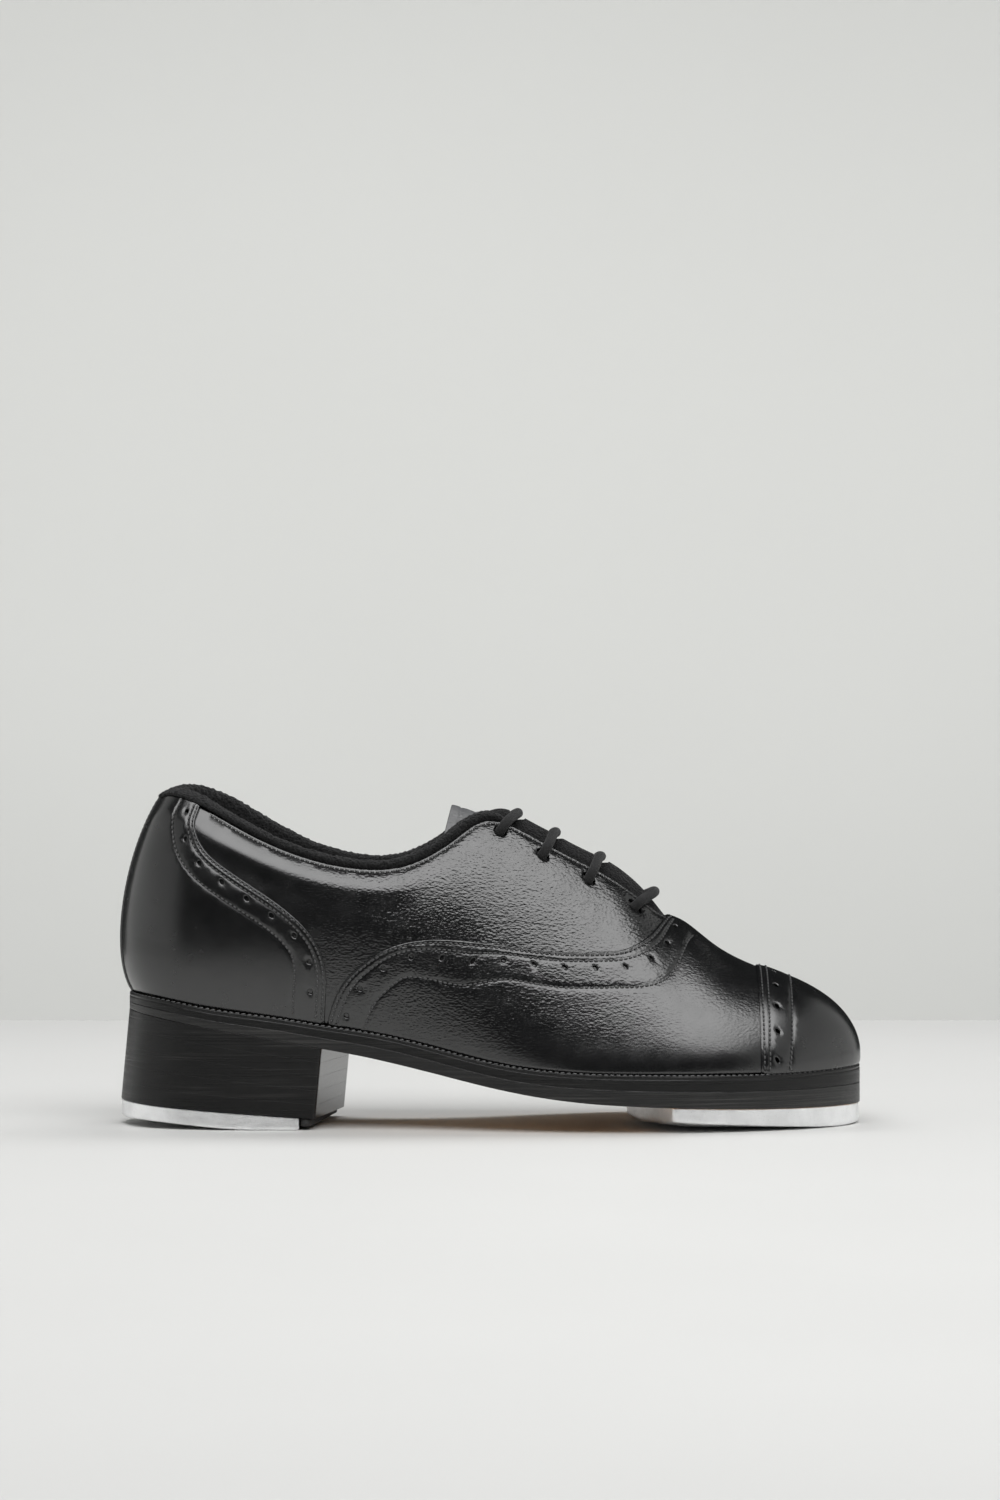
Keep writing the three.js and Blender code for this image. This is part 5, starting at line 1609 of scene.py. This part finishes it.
def cut_loop(outline, line, keep_left):
    """The part of a closed outline on one side of a line that crosses it."""
    loop = resample(outline, 0.4, closed=True)
    far = (-400, 0) if keep_left else (400, 0)
    area = np.vstack([line, [line[-1] + far], [line[0] + far]])
    kept = from_gap(loop[inside(loop, area)])
    inner = line[inside(line, loop)]
    if np.linalg.norm(inner[0] - kept[-1]) > np.linalg.norm(inner[-1] - kept[-1]):
        inner = inner[::-1]
    return worn(np.vstack([kept, inner]), 0.4, 10)


def taps():
    """The two plates and the rubber pad in front of the heel's one. The heel's are cut out in
    line with the sole and then shifted back."""
    toe_outline = resample(sole_outline(SOLE_OVERHANG - 0.4), 1.0, closed=True)
    toe = cut_loop(toe_outline, smooth_line(TAP_REAR, 0.8), keep_left=False)
    slab("toe_tap", toe, lambda x, y: ground(x) - TAP_GAP, toe_tap_under, TAP, edge=0.8,
         top_edge=0.2, cell=3.2, sinks=np.array(TOE_SCREWS, float), slot="tap_metal",
         replaces=["toe_tap"])

    def shifted(points):
        moved = points.copy()
        moved[:, 0] -= TAP_SHIFT
        return moved

    def top(x, _):
        return heel_base(x) - TAP_GAP

    full = behind_breast(SOLE_OVERHANG - 0.3, 1.0)
    pad_line = smooth_line(PAD_EDGE, 0.8) + [TAP_SHIFT, 0]
    plate = cut_loop(full, pad_line, keep_left=True)
    slab("heel_tap", plate, top, lambda x, y: 2.9 * smoothstep(-86 - (x - TAP_SHIFT), 0, 50), TAP,
         edge=0.8, top_edge=0.2, cell=3, place=shifted,
         sinks=np.array(HEEL_SCREWS) + [TAP_SHIFT, 0], slot="tap_metal", replaces=["heel_tap"])
    pad = cut_loop(full, pad_line + [0.4, 0], keep_left=False)
    slab("heel_rubber_pad", pad, top, lambda x, y: np.full(np.shape(x), 1.4), RUBBER, edge=0.5,
         cell=3, wall=2, place=shifted, slot="rubber", replaces=["heel_rubber_pad"])


def screws():
    """Countersunk heads with a cross recess, just below the face of the taps."""
    turn = np.linspace(0, 2 * math.pi, SCREW_SIDES, endpoint=False)
    radii = np.array([0.0, 0.35, 0.6, 0.9, 1.2, 1.5, 1.8, 2.1, 2.5, 2.9, 3.1, SCREW_HEAD])
    r, a = np.meshgrid(radii, turn, indexing="ij")
    x, y = r * np.cos(a), r * np.sin(a)
    arm = np.minimum(np.abs(x), np.abs(y))
    reach = np.maximum(np.abs(x), np.abs(y))
    cross = smoothstep(0.62 - arm, 0.0, 0.22) * smoothstep(2.15 - reach, 0.0, 0.5)
    face = 0.15 * (r / SCREW_HEAD) ** 2 + 0.9 * cross + 0.2 * smoothstep(r, 2.95, SCREW_HEAD)
    rings = list(np.stack([x, y, 0.8 + face], -1))
    for radius, z in ((SCREW_HEAD, 1.3), (SCREW_SHANK, 2.9), (SCREW_SHANK, 11.3), (0.3, 12.8)):
        flat = radius * np.stack([np.cos(turn), np.sin(turn)], 1)
        rings.append(np.column_stack([flat, np.full(len(turn), z)]))
    rings = np.array(rings)
    for word, places in (("toe", TOE_SCREWS), ("heel", HEEL_SCREWS)):
        for n, (px, py) in enumerate(places):
            name = f"{word}_tap_screw_{n + 1}"
            lift = REAR_SCREW_LIFT if px < -120 else 0
            sleeve(name, rings + [px, py, lift], STEEL, body=name, slot="steel",
                   replaces=[name], sharp=40)


# ---- Hidden pieces that keep their solids' shapes ------------------------------------------

def finish_nodes():
    """Their materials."""
    for node, material in (
        ("cork_filler", CORK), ("shank", STEEL), ("insole_board", BOARD), ("toe_puff", STIFFENER),
        ("heel_stiffener", STIFFENER), ("lining_vamp", LINING_CLOTH),
    ):
        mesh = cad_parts[node].data
        mesh.materials.clear()
        mesh.materials.append(material)


make_camera()
make_room()
make_light()
for one_side in SIDES:
    counter_panel(one_side)
    quarter_panel(one_side)
vamp_panel()
toe_cap_panel()
back_strip()
linings()
collar()
tongue()
lace()
welt()
sole()
heel()
taps()
screws()
finish_nodes()
